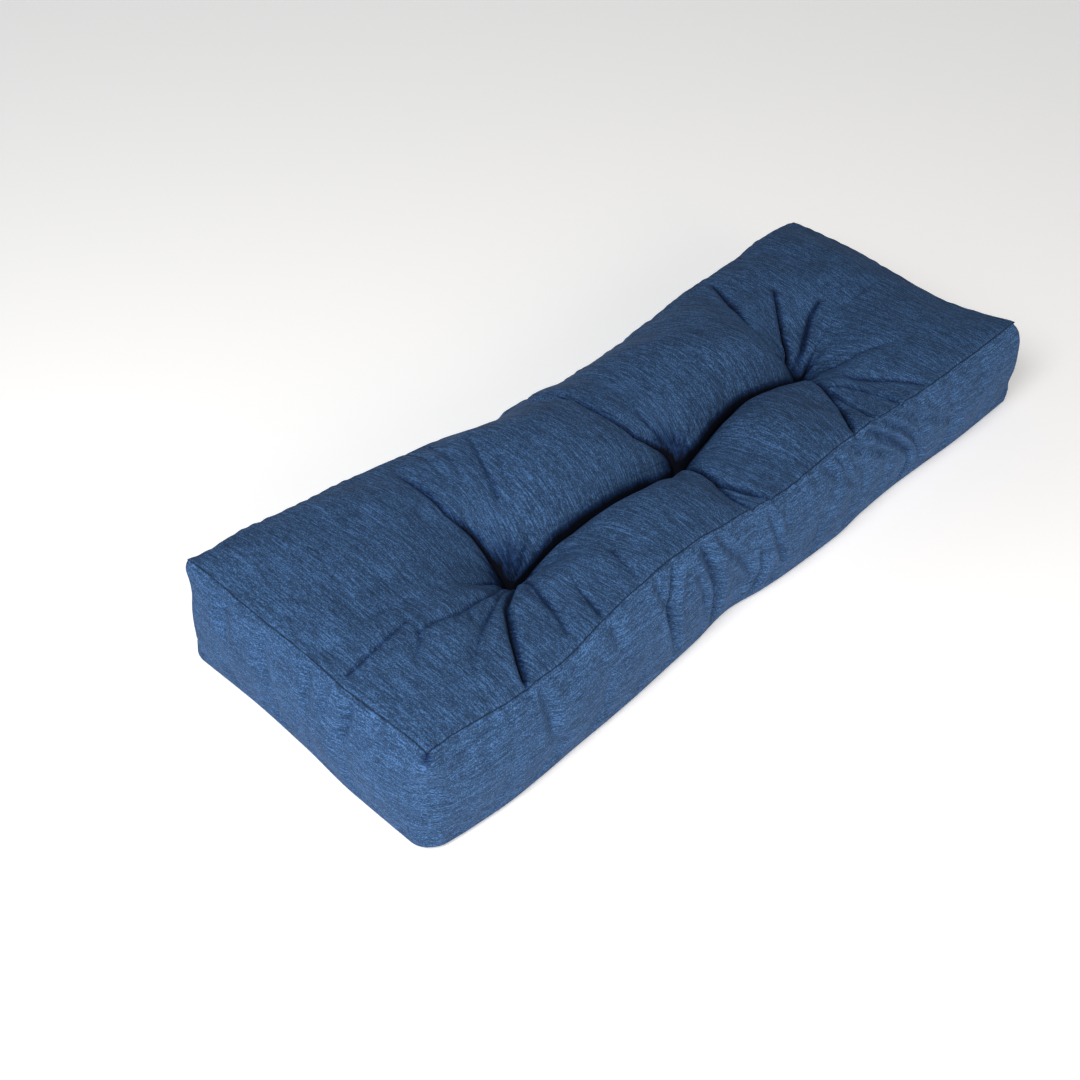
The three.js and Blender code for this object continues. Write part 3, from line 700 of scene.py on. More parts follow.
class BandGrid:
    """The side band: rows of points from the seam down to the foot, closed into a ring."""

    def __init__(self, panel, rows, swell):
        cells = panel.cells * 2
        seam = panel.ring(panel.points)
        self.side = np.repeat([NEAR, RIGHT, FAR, LEFT], cells)
        self.corners = np.concatenate([[0], np.cumsum(cells)[:-1]])
        steps = np.linalg.norm(np.diff(seam, axis=0, append=seam[:1]), axis=1)
        self.run = np.cumsum(steps) - steps
        self.total = steps.sum()
        self.down = closer_at_ends(BAND_HEIGHT, rows)[:, None]
        self.drop = self.down * BAND_HEIGHT
        share = self.down[..., None]
        points = seam[None] * (1 - share) + self._feet(seam)[None] * share
        self._round_corners(points, seam)
        gaps = np.linalg.norm(seam[:, None, :2] - seam[self.corners][None, :, :2], axis=-1)
        swell = swell * (1.0 + mound(gaps, CORNER_REACH) @ (CORNERS["swell"] - 1.0))
        stand = swell * np.sin(math.pi * self.down**SWELL_SKEW) - self._folds(seam, gaps)
        self.points = points + self.out * stand[..., None]

    def _feet(self, seam):
        """Where each point of the seam comes down, on the line of its own side's foot."""
        rows = (NEAR_SIDE, RIGHT_END, FAR_SIDE, LEFT_END)
        foot = np.full(seam.shape, FOOT_HEIGHT)
        for side in range(4):
            on = self.side == side
            along, across = (0, 1) if side in (NEAR, FAR) else (1, 0)
            place = seam[on, along]
            foot[on, across] = curve(rows[side], "xy"[along], "foot", place)
            ends = seam[self.corners[[side, (side + 1) % 4]]]
            turns = (rows[side - 1], rows[(side + 1) % 4])
            first, last = (curve(r, "xy"[across], "foot", e[across]) for r, e in zip(turns, ends))
            share = (place - ends[0, along]) / (ends[1, along] - ends[0, along])
            foot[on, along] = first + (last - first) * share
        return foot

    def _round_corners(self, points, seam):
        """Rounds the upright edges, and finds the way out at every point, which turns with them."""
        tips = seam[self.corners, :2]
        square = math.pi / 2 * (self.side - 1)
        out_x, out_y = np.cos(square), np.sin(square)
        way = np.tile(square, (len(points), 1))
        for corner, ahead in ((self.side, -1.0), ((self.side + 1) % 4, 1.0)):
            gap = np.linalg.norm(seam[:, :2] - tips[corner], axis=1)
            radius = CORNERS["radius"][corner] * smooth(self.down, -0.02, 0.4) + 1e-6
            turn = math.pi / 4 * np.clip(1.0 - gap / radius, 0.0, 1.0)
            tuck = radius * (1.0 - np.cos(turn))
            slide = ahead * np.where(gap < radius, radius * (1.0 - np.sin(turn)) - gap, 0.0)
            points[..., 0] -= out_x * tuck - out_y * slide
            points[..., 1] -= out_y * tuck + out_x * slide
            way += ahead * turn
        self.out = np.stack([np.cos(way), np.sin(way), np.zeros(way.shape)], -1)

    def _folds(self, seam, gaps):
        """How far the band is drawn in by its folds and its pinched corners."""
        down = self.down
        inward = np.zeros((len(down), len(seam)))
        self.tucks = np.zeros(inward.shape)
        for side, line, depth, half in BAND_FOLDS:
            on = self.side == side
            place = seam[on, 0 if side in (NEAR, FAR) else 1] + 0 * down
            off, share = line_distance(place, self.drop + 0 * place, line)[:2]
            t = np.abs(off) / (FOLD_WIDTH * half)
            trough = np.exp(-1.2 * t**1.5) - BESIDE_SHARE * mound(t - BESIDE_AT, BESIDE_WIDTH)
            fade = smooth(share, -0.15, 0.2) * smooth(1.0 - share, -0.15, 0.25)
            inward[:, on] += FOLD_DEPTH * depth * trough * fade
            self.tucks[:, on] += FOLD_SHADE * depth * np.maximum(trough, 0.0) ** 2 * fade
        inward -= seam_puckers(seam[:, 0] + seam[:, 1], self.drop, 5)
        inward -= stuffing_lumps(seam[:, 0] + seam[:, 1], self.drop, *BAND_LUMPS)
        inward *= smooth(down, 0.0, 0.08) * smooth(1.0 - down, 0.0, 0.1)
        for gap, (pinch, pouch, fullest) in zip(gaps.T, rows_of(CORNERS, "pinch pouch down")):
            tuck = pinch * np.exp(-((gap / PINCH_ALONG) ** 2) - (self.drop / PINCH_DOWN) ** 2)
            self.tucks += PINCH_SHADE * tuck
            inward += tuck
            below = (self.drop - fullest) / POUCH_DOWN
            inward -= pouch * np.exp(-((gap / POUCH_ALONG) ** 2) - below**2)
        return inward * smooth(down, 0.0, 0.02)

    def sole(self, rings):
        """Rings that roll from the foot under to the flat underside."""
        rolled = []
        for turn in np.linspace(0.0, math.pi / 2, rings + 1)[1:]:
            ring = self.points[-1] - self.out[-1] * FOOT_INSET * (1.0 - math.cos(turn))
            ring[:, 2] = FOOT_HEIGHT * (1.0 - math.sin(turn))
            rolled.append(ring)
        rolled[-1][:, 2] = 0.0
        return np.array(rolled)


def resample(values, shape):
    """A grid of values read at another number of rows and columns."""
    rows = np.linspace(0, values.shape[0] - 1, shape[0])
    columns = np.linspace(0, values.shape[1] - 1, shape[1])
    i = np.clip(rows.astype(int), 0, values.shape[0] - 2)
    j = np.clip(columns.astype(int), 0, values.shape[1] - 2)
    a = (rows - i)[:, None, None]
    b = (columns - j)[None, :, None]
    low = values[i][:, j] * (1 - b) + values[i][:, j + 1] * b
    high = values[i + 1][:, j] * (1 - b) + values[i + 1][:, j + 1] * b
    return low * (1 - a) + high * a


def cover_faces(panel_shape, band_rows, sole_rings):
    """Quads of the panel, the band and the roll under the foot, and the rim of the flat sole."""
    index = np.arange(panel_shape[0] * panel_shape[1]).reshape(panel_shape)
    a, b, c, d = index[:-1, :-1], index[1:, :-1], index[1:, 1:], index[:-1, 1:]
    panel = np.stack([a, b, c, d], -1).reshape(-1, 4)
    ring = PanelGrid.ring(index)
    below = index.size + np.arange((band_rows + sole_rings) * len(ring)).reshape(-1, len(ring))
    rings = np.concatenate([ring[None], below])
    upper, lower = rings[:-1], rings[1:]
    walls = np.stack([upper, lower, np.roll(lower, -1, 1), np.roll(upper, -1, 1)], -1)
    return panel, walls[:band_rows].reshape(-1, 4), walls[band_rows:].reshape(-1, 4), rings[-1]


def to_frame(points):
    """Table millimetres to the part's own frame in metres."""
    return (np.asarray(points).reshape(-1, 3) + PANEL_MIDDLE) * MM


def add_object(name, data):
    """A new object in the scene from its mesh, curve, lamp or camera."""
    made = bpy.data.objects.new(name, data)
    bpy.context.scene.collection.objects.link(made)
    return made


def mesh_object(name, points, faces):
    """A new object from points in metres and lists of point numbers."""
    mesh = bpy.data.meshes.new(name)
    mesh.from_pydata([tuple(p) for p in points], [], [tuple(int(v) for v in f) for f in faces])
    mesh.update()
    return add_object(name, mesh)


def closed_cover(name, panel, band, rings):
    """One closed mesh, its points, and how many of its quads are the panel's and the band's."""
    grids = (panel.points, band.points[1:], band.sole(rings))
    points = to_frame(np.concatenate([grid.reshape(-1, 3) for grid in grids]))
    quads, walls, roll, rim = cover_faces(panel.shape, len(band.points) - 1, rings)
    made = mesh_object(name, points, [*quads, *walls, *roll, rim[::-1]])
    return made, points, len(quads), len(walls)


def read_points(mesh):
    """A mesh's points as an array."""
    flat = np.empty(len(mesh.vertices) * 3)
    mesh.vertices.foreach_get("co", flat)
    return flat.reshape(-1, 3)


def hold_weights(panel, band, count, hold):
    """How firmly each point is held: the gathers, the cleft, the seam and the foot the most."""
    top = np.maximum(hold, GATHER_HOLD * panel.held)
    sharp = curve(SECTIONS, "x", "sharp", panel.points[..., 0])
    top = np.maximum(top, sharp * mound(panel.off_valley(), VALLEY_HOLD_REACH))
    top = np.maximum(top, SEAM_HOLD * mound(panel.seam_gap, SEAM_HOLD_REACH))
    walls = np.full(band.points[1:].shape[:2], hold)
    walls[-2:] = 1.0
    return np.concatenate([top.ravel(), walls.ravel(), np.ones(count - top.size - walls.size)])


def fill_out(dummy, hold, settings):
    """Runs the cloth under pressure, and returns its points at the last step."""
    pins = dummy.vertex_groups.new(name="held")
    for level in range(1, HOLD_STEPS + 1):
        chosen = np.nonzero(np.round(hold * HOLD_STEPS) == level)[0]
        if len(chosen):
            pins.add([int(v) for v in chosen], level / HOLD_STEPS, "REPLACE")
    cloth = dummy.modifiers.new("Cloth", "CLOTH")
    for name, value in CLOTH.items():
        setattr(cloth.settings, name, value)
    cloth.settings.vertex_group_mass = pins.name
    cloth.settings.uniform_pressure_force = settings.pressure
    cloth.settings.shrink_min = -settings.ease
    cloth.settings.shrink_max = -settings.ease
    cloth.settings.effector_weights.gravity = 0.0
    cloth.collision_settings.use_collision = False
    cloth.collision_settings.use_self_collision = False
    cloth.point_cache.frame_start = 1
    cloth.point_cache.frame_end = settings.frames
    scene = bpy.context.scene
    for step in range(1, settings.frames + 1):
        scene.frame_set(step)
    graph = bpy.context.evaluated_depsgraph_get()
    filled = read_points(dummy.evaluated_get(graph).data)
    scene.frame_set(1)
    return filled


def softened(values):
    """A grid of values twice averaged a little with its neighbours, along and across."""
    for axis in (0, 1, 0, 1):
        rows = np.moveaxis(values, axis, 0)
        wide = np.concatenate([rows[:1], rows, rows[-1:]])
        values = np.moveaxis((wide[:-2] + 2 * wide[1:-1] + wide[2:]) / 4, 0, axis)
    return values


def settle_cloth(settings):
    """Lets a coarse copy of the cover fill out under pressure, and returns how far it moved."""
    panel = PanelGrid(settings.coarse_length, settings.coarse_near, settings.coarse_far)
    panel.gather().pull_ears()
    band = BandGrid(panel, settings.coarse_band, settings.band_swell)
    dummy, start, *_ = closed_cover("stuffing_pass", panel, band, COARSE_SOLE_RINGS)
    hold = hold_weights(panel, band, len(start), settings.hold)
    moved = fill_out(dummy, hold, settings) - start
    bpy.data.objects.remove(dummy)

    cap = settings.most_movement
    length = np.linalg.norm(moved, axis=1, keepdims=True)
    moved = moved * np.tanh(length / cap) * cap / np.maximum(length, 1e-9)
    panel_count = panel.shape[0] * panel.shape[1]
    panel_moved = softened(moved[:panel_count].reshape(*panel.shape, 3))
    walls = band.points[1:]
    band_moved = moved[panel_count : panel_count + walls[..., 0].size].reshape(walls.shape)
    return panel_moved / MM, band_moved / MM, panel.cells


def spread_round_ring(values, coarse, fine):
    """Values round a coarse ring read round a finer one, side by side so that corners match."""
    closed = np.concatenate([values, values[:, :1]], 1)
    sides = []
    start = 0
    for few, many in zip(coarse * 2, fine * 2):
        side = closed[:, start : start + few + 1]
        sides.append(resample(side, (values.shape[0], many + 1))[:, :-1])
        start += few
    return np.concatenate(sides, 1)


def cover_object(settings):
    """The finished cover: panel, band and underside in one closed mesh, with the cloth's own map."""
    fine = settings.fine
    cells = [fine * n for n in (settings.coarse_length, settings.coarse_near, settings.coarse_far)]
    panel = PanelGrid(*cells).gather().pull_ears()
    band_rows = settings.coarse_band * fine
    panel_moved, band_moved, coarse = settle_cloth(settings)
    panel_moved = resample(panel_moved, panel.shape)
    panel.points = panel.points + panel_moved
    band = BandGrid(panel, band_rows, settings.band_swell)
    seam_moved = panel.ring(panel_moved)
    spread = spread_round_ring(band_moved, coarse, panel.cells)
    spread = resample(np.concatenate([seam_moved[None], spread]), band.points.shape[:2])
    fall = (1.0 - band.down)[..., None]
    below = smooth(band.down, 0.0, 0.1)[..., None]
    band.points = band.points + (spread - seam_moved[None] * fall) * below
    seam_groove(panel, band)
    made, _, panel_faces, band_faces = closed_cover("cushion_cover", panel, band, SOLE_RINGS)
    map_cloth(made.data, panel, band, panel_faces, band_faces)
    describe_cloth(made.data, panel, band)
    slots = np.zeros(len(made.data.polygons), int)
    slots[panel_faces : panel_faces + band_faces] = 1
    made.data.polygons.foreach_set("material_index", slots)
    work = bmesh.new()
    work.from_mesh(made.data)
    bmesh.ops.triangulate(work, faces=[f for f in work.faces if len(f.verts) > 4])
    work.to_mesh(made.data)
    work.free()
    for face in made.data.polygons:
        face.use_smooth = True
    return made


def seam_groove(panel, band):
    """The two cloths roll up beside the seam and turn in to it."""
    gap = panel.seam_gap
    panel.points = panel.points + grid_normals(panel.points) * seam_roll(gap)[..., None]
    panel.points[..., 2] -= SEAM_GROOVE * np.exp(-gap / SEAM_GROOVE_WIDTH)
    turn = SEAM_GROOVE * SEAM_TURN
    panel.points[:, 0, 1] += turn
    panel.points[:, -1, 1] -= turn
    panel.points[0, :, 0] += turn
    panel.points[-1, :, 0] -= turn
    gap = band.down * DRAWN_BAND
    out = seam_roll(gap) - turn * np.exp(-gap / SEAM_GROOVE_WIDTH)
    band.points[1:] += (band.out * out[..., None])[1:]


def map_cloth(mesh, panel, band, panel_faces, band_faces):
    """The cloth's own map in metres: U runs along the slubs, V across them."""
    layer = mesh.uv_layers.new(name="Cloth")
    loops = np.empty(len(mesh.loops), int)
    mesh.loops.foreach_get("vertex_index", loops)
    count = panel.shape[0] * panel.shape[1]
    rows, ring = band.points[1:].shape[:2]
    place = np.zeros((len(mesh.vertices), 2))
    place[:count] = np.stack([panel.across, panel.along], -1).reshape(-1, 2)
    run = np.tile(band.run, rows)
    drop = np.repeat(band.drop[1:, 0], ring)
    place[count : count + len(run)] = np.stack([run, drop], -1)
    uv = place[loops]

    # The band's top row takes its length round the seam, and its last quads close the ring.
    first_band = panel_faces * 4
    last_band = first_band + band_faces * 4
    band_loops = loops[first_band:last_band]
    seam_run = np.zeros(count)
    seam_run[PanelGrid.ring(np.arange(count).reshape(panel.shape))] = band.run
    on_seam = band_loops < count
    along = seam_run[band_loops[on_seam]]
    uv[first_band:last_band][on_seam] = np.stack([along, np.zeros(along.shape)], -1)
    closing = uv[first_band:last_band].reshape(-1, 4, 2)
    wraps = np.ptp(closing[..., 0], axis=1) > LENGTH
    early = wraps[:, None] & (closing[..., 0] < LENGTH)
    closing[..., 0] += np.where(early, band.total, 0.0)

    # The underside is mapped flat.
    uv[last_band:] = (read_points(mesh) / MM)[loops[last_band:]][:, [1, 0]]
    layer.data.foreach_set("uv", (uv * MM).ravel())


def describe_cloth(mesh, panel, band):
    """Tells the material how far each point is from the seam and how deep in a fold, in metres."""
    top = panel.shape[0] * panel.shape[1]
    ring = band.points.shape[1]
    described = {
        "seam_gap": (1.0, panel.seam_gap, np.repeat(band.drop[1:, 0], ring)),
        # fold_depth, with the tufts' funnels and the band's folds and pinches added, sets the painted
        # shade in the cloth's folds.
        "fold_depth": (0.0, depth_in_folds(panel.points) + panel.funnel, band.tucks[1:]),
    }
    for name, (elsewhere, on_top, on_band) in described.items():
        values = np.full(len(mesh.vertices), elsewhere)
        values[:top] = on_top.ravel() * MM
        values[top : top + on_band.size] = on_band.ravel() * MM
        mesh.attributes.new(name, "FLOAT", "POINT").data.foreach_set("value", values)


def to_linear(hex_colour):
    """An sRGB hex colour as linear red, green, blue and alpha."""
    text = hex_colour.lstrip("#")
    channels = [int(text[i : i + 2], 16) / 255.0 for i in (0, 2, 4)]
    linear = [c / 12.92 if c <= 0.04045 else ((c + 0.055) / 1.055) ** 2.4 for c in channels]
    return (*linear, 1.0)


def add_node(tree, kind, inputs=None, **settings):
    """Adds a node, sets what it does, and gives each input its value or the socket that feeds it."""
    node = tree.nodes.new(kind)
    for name, value in settings.items():
        setattr(node, name, value)
    for key, value in (inputs or {}).items():
        if isinstance(value, bpy.types.NodeSocket):
            tree.links.new(value, node.inputs[key])
        else:
            node.inputs[key].default_value = value
    return node


def empty_tree(owner):
    """Gives a material or a world its own node tree, and clears it."""
    owner.use_nodes = True
    owner.node_tree.nodes.clear()
    return owner.node_tree


def yarn_shades(tree, cloth, pitch, run, detail):
    """A shade for each yarn that changes along it as its slubs do, from about 0 dark to 1 light."""
    yarn = add_node(tree, "ShaderNodeVectorMath", {0: cloth, 1: pitch}, operation="SNAP").outputs[0]
    apart = add_node(tree, "ShaderNodeVectorMath", {0: yarn, 1: run}, operation="MULTIPLY").outputs[0]
    inputs = {"Vector": apart, "Scale": 1.0, "Detail": detail, "Roughness": 0.85}
    return add_node(tree, "ShaderNodeTexNoise", inputs, noise_dimensions="2D").outputs[0]


def melange_cloth(name, colours, contrast, lift):
    """Plain-woven polyester of mixed light, mid and dark blue yarns: matt, with slubs that show
    as long thin streaks along the weft, and a faint sheen where the surface turns away."""
    material = bpy.data.materials.new(name)
    tree = empty_tree(material)
    cloth = add_node(tree, "ShaderNodeUVMap", uv_map="Cloth").outputs[0]

    # The yarns are about 0.6 mm; they are drawn 1 to 1.4 mm wide so that they still show from 2 m
    # away. Each takes its own stretch of the noise, some cells from its neighbour's. The slubs are
    # a few centimetres long, and the warp only breaks the lines up into specks.
    weft = yarn_shades(tree, cloth, (1e-5, 0.0010, 1.0), (1 / 0.022, 7.3 / 0.0010, 0.0), 2.0)
    slubs = yarn_shades(tree, cloth, (1e-5, 0.0014, 1.0), (1 / 0.055, 5.2 / 0.0014, 0.0), 1.0)
    warp = yarn_shades(tree, cloth, (0.0012, 1e-5, 1.0), (7.3 / 0.0012, 1 / 0.0016, 0.0), 0.0)
    shades = add_node(tree, "ShaderNodeCombineXYZ", {"X": weft, "Y": slubs, "Z": warp}).outputs[0]
    total = add_node(tree, "ShaderNodeVectorMath", {0: shades, 1: contrast}, operation="DOT_PRODUCT")
    total = total.outputs["Value"]
    centre = 0.5 - 0.5 * sum(contrast)
    tone = add_node(tree, "ShaderNodeMath", {0: total, 1: centre}, operation="ADD", use_clamp=True)
    ramp = add_node(tree, "ShaderNodeValToRGB", {0: tone.outputs[0]})
    stops = ramp.color_ramp.elements
    stops[0].position, stops[0].color = 0.05, to_linear(colours.dark)
    stops[1].position, stops[1].color = 0.95, to_linear(colours.light)
    stops.new(0.5).color = to_linear(colours.mid)

    # The dye took unevenly over patches of a few centimetres.
    inputs = {"Vector": cloth, "Scale": 22.0, "Detail": 3.0}
    patches = add_node(tree, "ShaderNodeTexNoise", inputs, noise_dimensions="2D").outputs[0]
    # The patches swing about the lift, which is higher on the band than on the top: partly for its weave
    # turned the other way, partly painted light, as the sides catch more of the low light.
    inputs = {"Value": patches, "To Min": lift - 0.15, "To Max": lift + 0.15}
    level = add_node(tree, "ShaderNodeMapRange", inputs).outputs[0]
    inputs = {0: ramp.outputs[0], "Scale": level}
    colour = add_node(tree, "ShaderNodeVectorMath", inputs, operation="SCALE").outputs[0]

    # Deep in a fold the cloth faces itself: what light comes back is first bluer, then none.
    fold = add_node(tree, "ShaderNodeAttribute", attribute_name="fold_depth").outputs["Fac"]
    inputs = {"Value": fold, "From Min": 0.0010, "From Max": 0.0115}
    inward = add_node(tree, "ShaderNodeMapRange", inputs).outputs[0]
    shade = add_node(tree, "ShaderNodeValToRGB", {0: inward})
    stops = shade.color_ramp.elements
    stops[0].color = to_linear("#FFFFFF")
    stops[1].color = to_linear(colours.hollow)
    stops.new(0.4).color = to_linear(colours.fold)
    inputs = {0: 1.0, 6: colour, 7: shade.outputs[0]}
    colour = add_node(tree, "ShaderNodeMix", inputs, data_type="RGBA", blend_type="MULTIPLY")
    colour = colour.outputs[2]

    # The seam is drawn as a thin dark line in the thread's colour: partly the sewing thread, partly
    # painted shade for the shadow where the turned-in edges meet.
    gap = add_node(tree, "ShaderNodeAttribute", attribute_name="seam_gap").outputs["Fac"]
    inputs = {"Value": gap, "From Min": 0.0004, "From Max": 0.0018, "To Min": 0.85, "To Max": 0.0}
    seam = add_node(tree, "ShaderNodeMapRange", inputs, interpolation_type="SMOOTHSTEP").outputs[0]
    inputs = {0: seam, 6: colour, 7: to_linear(colours.thread)}
    colour = add_node(tree, "ShaderNodeMix", inputs, data_type="RGBA").outputs[2]

    inputs = {"Height": total, "Strength": 0.35, "Distance": 0.0005}
    bump = add_node(tree, "ShaderNodeBump", inputs).outputs[0]
    inputs = {
        "Base Color": colour,
        "Normal": bump,
        "Roughness": 0.85,
        "Specular IOR Level": 0.15,
        "Sheen Weight": 0.05,
        "Sheen Roughness": 0.5,
        "Sheen Tint": to_linear(colours.light),
    }
    shader = add_node(tree, "ShaderNodeBsdfPrincipled", inputs)
    add_node(tree, "ShaderNodeOutputMaterial", {"Surface": shader.outputs[0]})
    return material


def sewing_thread(name, colours):
    """Spun polyester sewing thread: matt navy, its twist only just uneven in shade."""
    material = bpy.data.materials.new(name)
    tree = empty_tree(material)
    place = add_node(tree, "ShaderNodeTexCoord").outputs["Object"]
    twist = add_node(tree, "ShaderNodeTexNoise", {"Vector": place, "Scale": 900.0}).outputs[0]
    inputs = {0: twist, 6: to_linear(colours.thread), 7: to_linear(colours.dark)}
    shade = add_node(tree, "ShaderNodeMix", inputs, data_type="RGBA").outputs[2]
    bump = add_node(tree, "ShaderNodeBump", {"Height": twist, "Strength": 0.4, "Distance": 0.0002})
    inputs = {"Base Color": shade, "Normal": bump.outputs[0], "Roughness": 0.6}
    shader = add_node(tree, "ShaderNodeBsdfPrincipled", inputs)
    add_node(tree, "ShaderNodeOutputMaterial", {"Surface": shader.outputs[0]})
    return material


def stitch_tree():
    """Geometry nodes: short stitches along a curve, each an arc that dips into the cloth."""
    tree = bpy.data.node_groups.new("Stitches along a seam", "GeometryNodeTree")
    tree.is_modifier = True
    face = tree.interface
    face.new_socket("Seam", in_out="INPUT", socket_type="NodeSocketGeometry")
    for name in ("Pitch", "Length", "Thread", "Rise", "Slant"):
        face.new_socket(name, in_out="INPUT", socket_type="NodeSocketFloat")
    face.new_socket("Seed", in_out="INPUT", socket_type="NodeSocketInt")
    face.new_socket("Material", in_out="INPUT", socket_type="NodeSocketMaterial")
    face.new_socket("Stitches", in_out="OUTPUT", socket_type="NodeSocketGeometry")
    given = add_node(tree, "NodeGroupInput").outputs

    inputs = {"Curve": given["Seam"], "Length": given["Pitch"]}
    holes = add_node(tree, "GeometryNodeCurveToPoints", inputs, mode="LENGTH").outputs
    inputs = {"Vector": holes["Tangent"]}
    way = add_node(tree, "FunctionNodeAlignRotationToVector", inputs, axis="X").outputs[0]
    back = add_node(tree, "ShaderNodeMath", {0: given["Slant"], 1: -1.0}, operation="MULTIPLY")
    inputs = {2: back.outputs[0], 3: given["Slant"], "Seed": given["Seed"]}
    slant = add_node(tree, "FunctionNodeRandomValue", inputs, data_type="FLOAT").outputs[1]
    turn = add_node(tree, "ShaderNodeCombineXYZ", {"Z": slant}).outputs[0]
    inputs = {"Rotation": way, "Rotate By": turn}
    way = add_node(tree, "FunctionNodeRotateRotation", inputs, rotation_space="LOCAL").outputs[0]

    inputs = {0: given["Length"], 1: 0.5}
    half = add_node(tree, "ShaderNodeMath", inputs, operation="MULTIPLY").outputs[0]
    before = add_node(tree, "ShaderNodeMath", {0: half, 1: -1.0}, operation="MULTIPLY").outputs[0]
    inputs = {
        "Resolution": 6,
        "Start": add_node(tree, "ShaderNodeCombineXYZ", {"X": before}).outputs[0],
        "Middle": add_node(tree, "ShaderNodeCombineXYZ", {"Z": given["Rise"]}).outputs[0],
        "End": add_node(tree, "ShaderNodeCombineXYZ", {"X": half}).outputs[0],
    }
    arc = add_node(tree, "GeometryNodeCurveQuadraticBezier", inputs).outputs[0]
    inputs = {0: given["Thread"], 1: 0.5}
    radius = add_node(tree, "ShaderNodeMath", inputs, operation="MULTIPLY").outputs[0]
    inputs = {"Resolution": 6, "Radius": radius}
    round_thread = add_node(tree, "GeometryNodeCurvePrimitiveCircle", inputs).outputs[0]
    inputs = {"Curve": arc, "Profile Curve": round_thread, "Fill Caps": True}
    stitch = add_node(tree, "GeometryNodeCurveToMesh", inputs).outputs[0]

    inputs = {"Points": holes["Points"], "Instance": stitch, "Rotation": way}
    sewn = add_node(tree, "GeometryNodeInstanceOnPoints", inputs).outputs[0]
    real = add_node(tree, "GeometryNodeRealizeInstances", {"Geometry": sewn}).outputs[0]
    inputs = {"Geometry": real, "Material": given["Material"]}
    done = add_node(tree, "GeometryNodeSetMaterial", inputs).outputs[0]
    add_node(tree, "NodeGroupOutput", {0: done})
    return tree


def sew(name, lines, closed, tree, sizes):
    """Runs the stitch tree along lines of points, and leaves the stitches as one plain mesh."""
    data = bpy.data.curves.new(name, "CURVE")
    data.dimensions = "3D"
    for line in lines:
        spline = data.splines.new("POLY")
        spline.points.add(len(line) - 1)
        spline.points.foreach_set("co", np.column_stack([line, np.ones(len(line))]).ravel())
        spline.use_cyclic_u = closed
    path = add_object(name + "_path", data)
    modifier = path.modifiers.new("Stitches", "NODES")
    modifier.node_group = tree
    for item in tree.interface.items_tree:
        if item.name in sizes:
            modifier[item.identifier] = sizes[item.name]
    graph = bpy.context.evaluated_depsgraph_get()
    mesh = bpy.data.meshes.new_from_object(path.evaluated_get(graph))
    bpy.data.objects.remove(path)
    return add_object(name, mesh)


class CushionCover(PropertyGroup):
    """Sizes and stuffing of the cover."""

    coarse_length: IntProperty(
        name="Cells along", description="Cells of cloth along the length in the stuffing pass",
        default=120, min=20,
    )
    coarse_near: IntProperty(
        name="Cells near", description="Cells across the near row of lobes", default=24, min=6
    )
    coarse_far: IntProperty(
        name="Cells far", description="Cells across the far row of lobes", default=25, min=6
    )
    coarse_band: IntProperty(
        name="Cells down", description="Cells down the side band", default=14, min=4
    )
    fine: IntProperty(
        name="Fineness", description="Cells of the finished cover for each stuffing cell",
        default=5, min=1, max=6,
    )
    band_swell: FloatProperty(
        name="Band swell", description="How far the side band stands proud, in mm",
        default=12.0, min=0.0,
    )
    frames: IntProperty(
        name="Stuffing steps", description="Steps of the stuffing pass", default=14, min=1
    )
    pressure: FloatProperty(
        name="Pressure", description="Push of the stuffing", default=3.0, min=0.0
    )
    ease: FloatProperty(
        name="Ease", description="Spare cloth, as a share of its length", default=0.02, min=0.0
    )
    hold: FloatProperty(
        name="Hold", description="How firmly the cloth keeps its cut shape",
        default=0.15, min=0.0, max=1.0,
    )
    most_movement: FloatProperty(
        name="Most movement", description="Cap on how far the cloth may move",
        default=0.010, min=0.0, unit="LENGTH",
    )


class SeamStitches(PropertyGroup):
    """Sizes of the sewing."""

    pitch: FloatProperty(
        name="Pitch", description="From one stitch to the next", default=0.0042, min=0.001,
        unit="LENGTH",
    )
    length: FloatProperty(
        name="Length", description="Length of a stitch", default=0.0034, min=0.0005, unit="LENGTH"
    )
    thread: FloatProperty(
        name="Thread", description="Thickness of the seam's thread", default=0.0007, min=0.0001,
        unit="LENGTH",
    )
    tuft_thread: FloatProperty(
        name="Tuft thread", description="Thickness of the tufts' thread", default=0.0016,
        min=0.0002, unit="LENGTH",
    )
    tuft_length: FloatProperty(
        name="Tuft stitch", description="Length of the stitch that holds a tuft", default=0.012,
        min=0.002, unit="LENGTH",
    )
    seed: IntProperty(name="Seed", description="Seed of the stitches' slant", default=4)


class ClothColours(PropertyGroup):
    """Yarn colours of the cloth, the sewing thread and the painted shade in its folds, as sRGB hex
    values.
    """

    dark: StringProperty(name="Dark yarn", description="Navy yarn", default="#1D3350")
    mid: StringProperty(name="Mid yarn", description="Main blue yarn", default="#2F4A6D")
    light: StringProperty(name="Light yarn", description="Light blue yarn", default="#4C74A8")
    fold: StringProperty(
        name="Fold shade", description="What a shallow fold leaves of the light", default="#93AAC4"
    )
    hollow: StringProperty(
        name="Deep folds", description="What a deep fold leaves of the light", default="#1B2736"
    )
    thread: StringProperty(name="Sewing thread", description="Navy sewing thread", default="#0E1A2B")


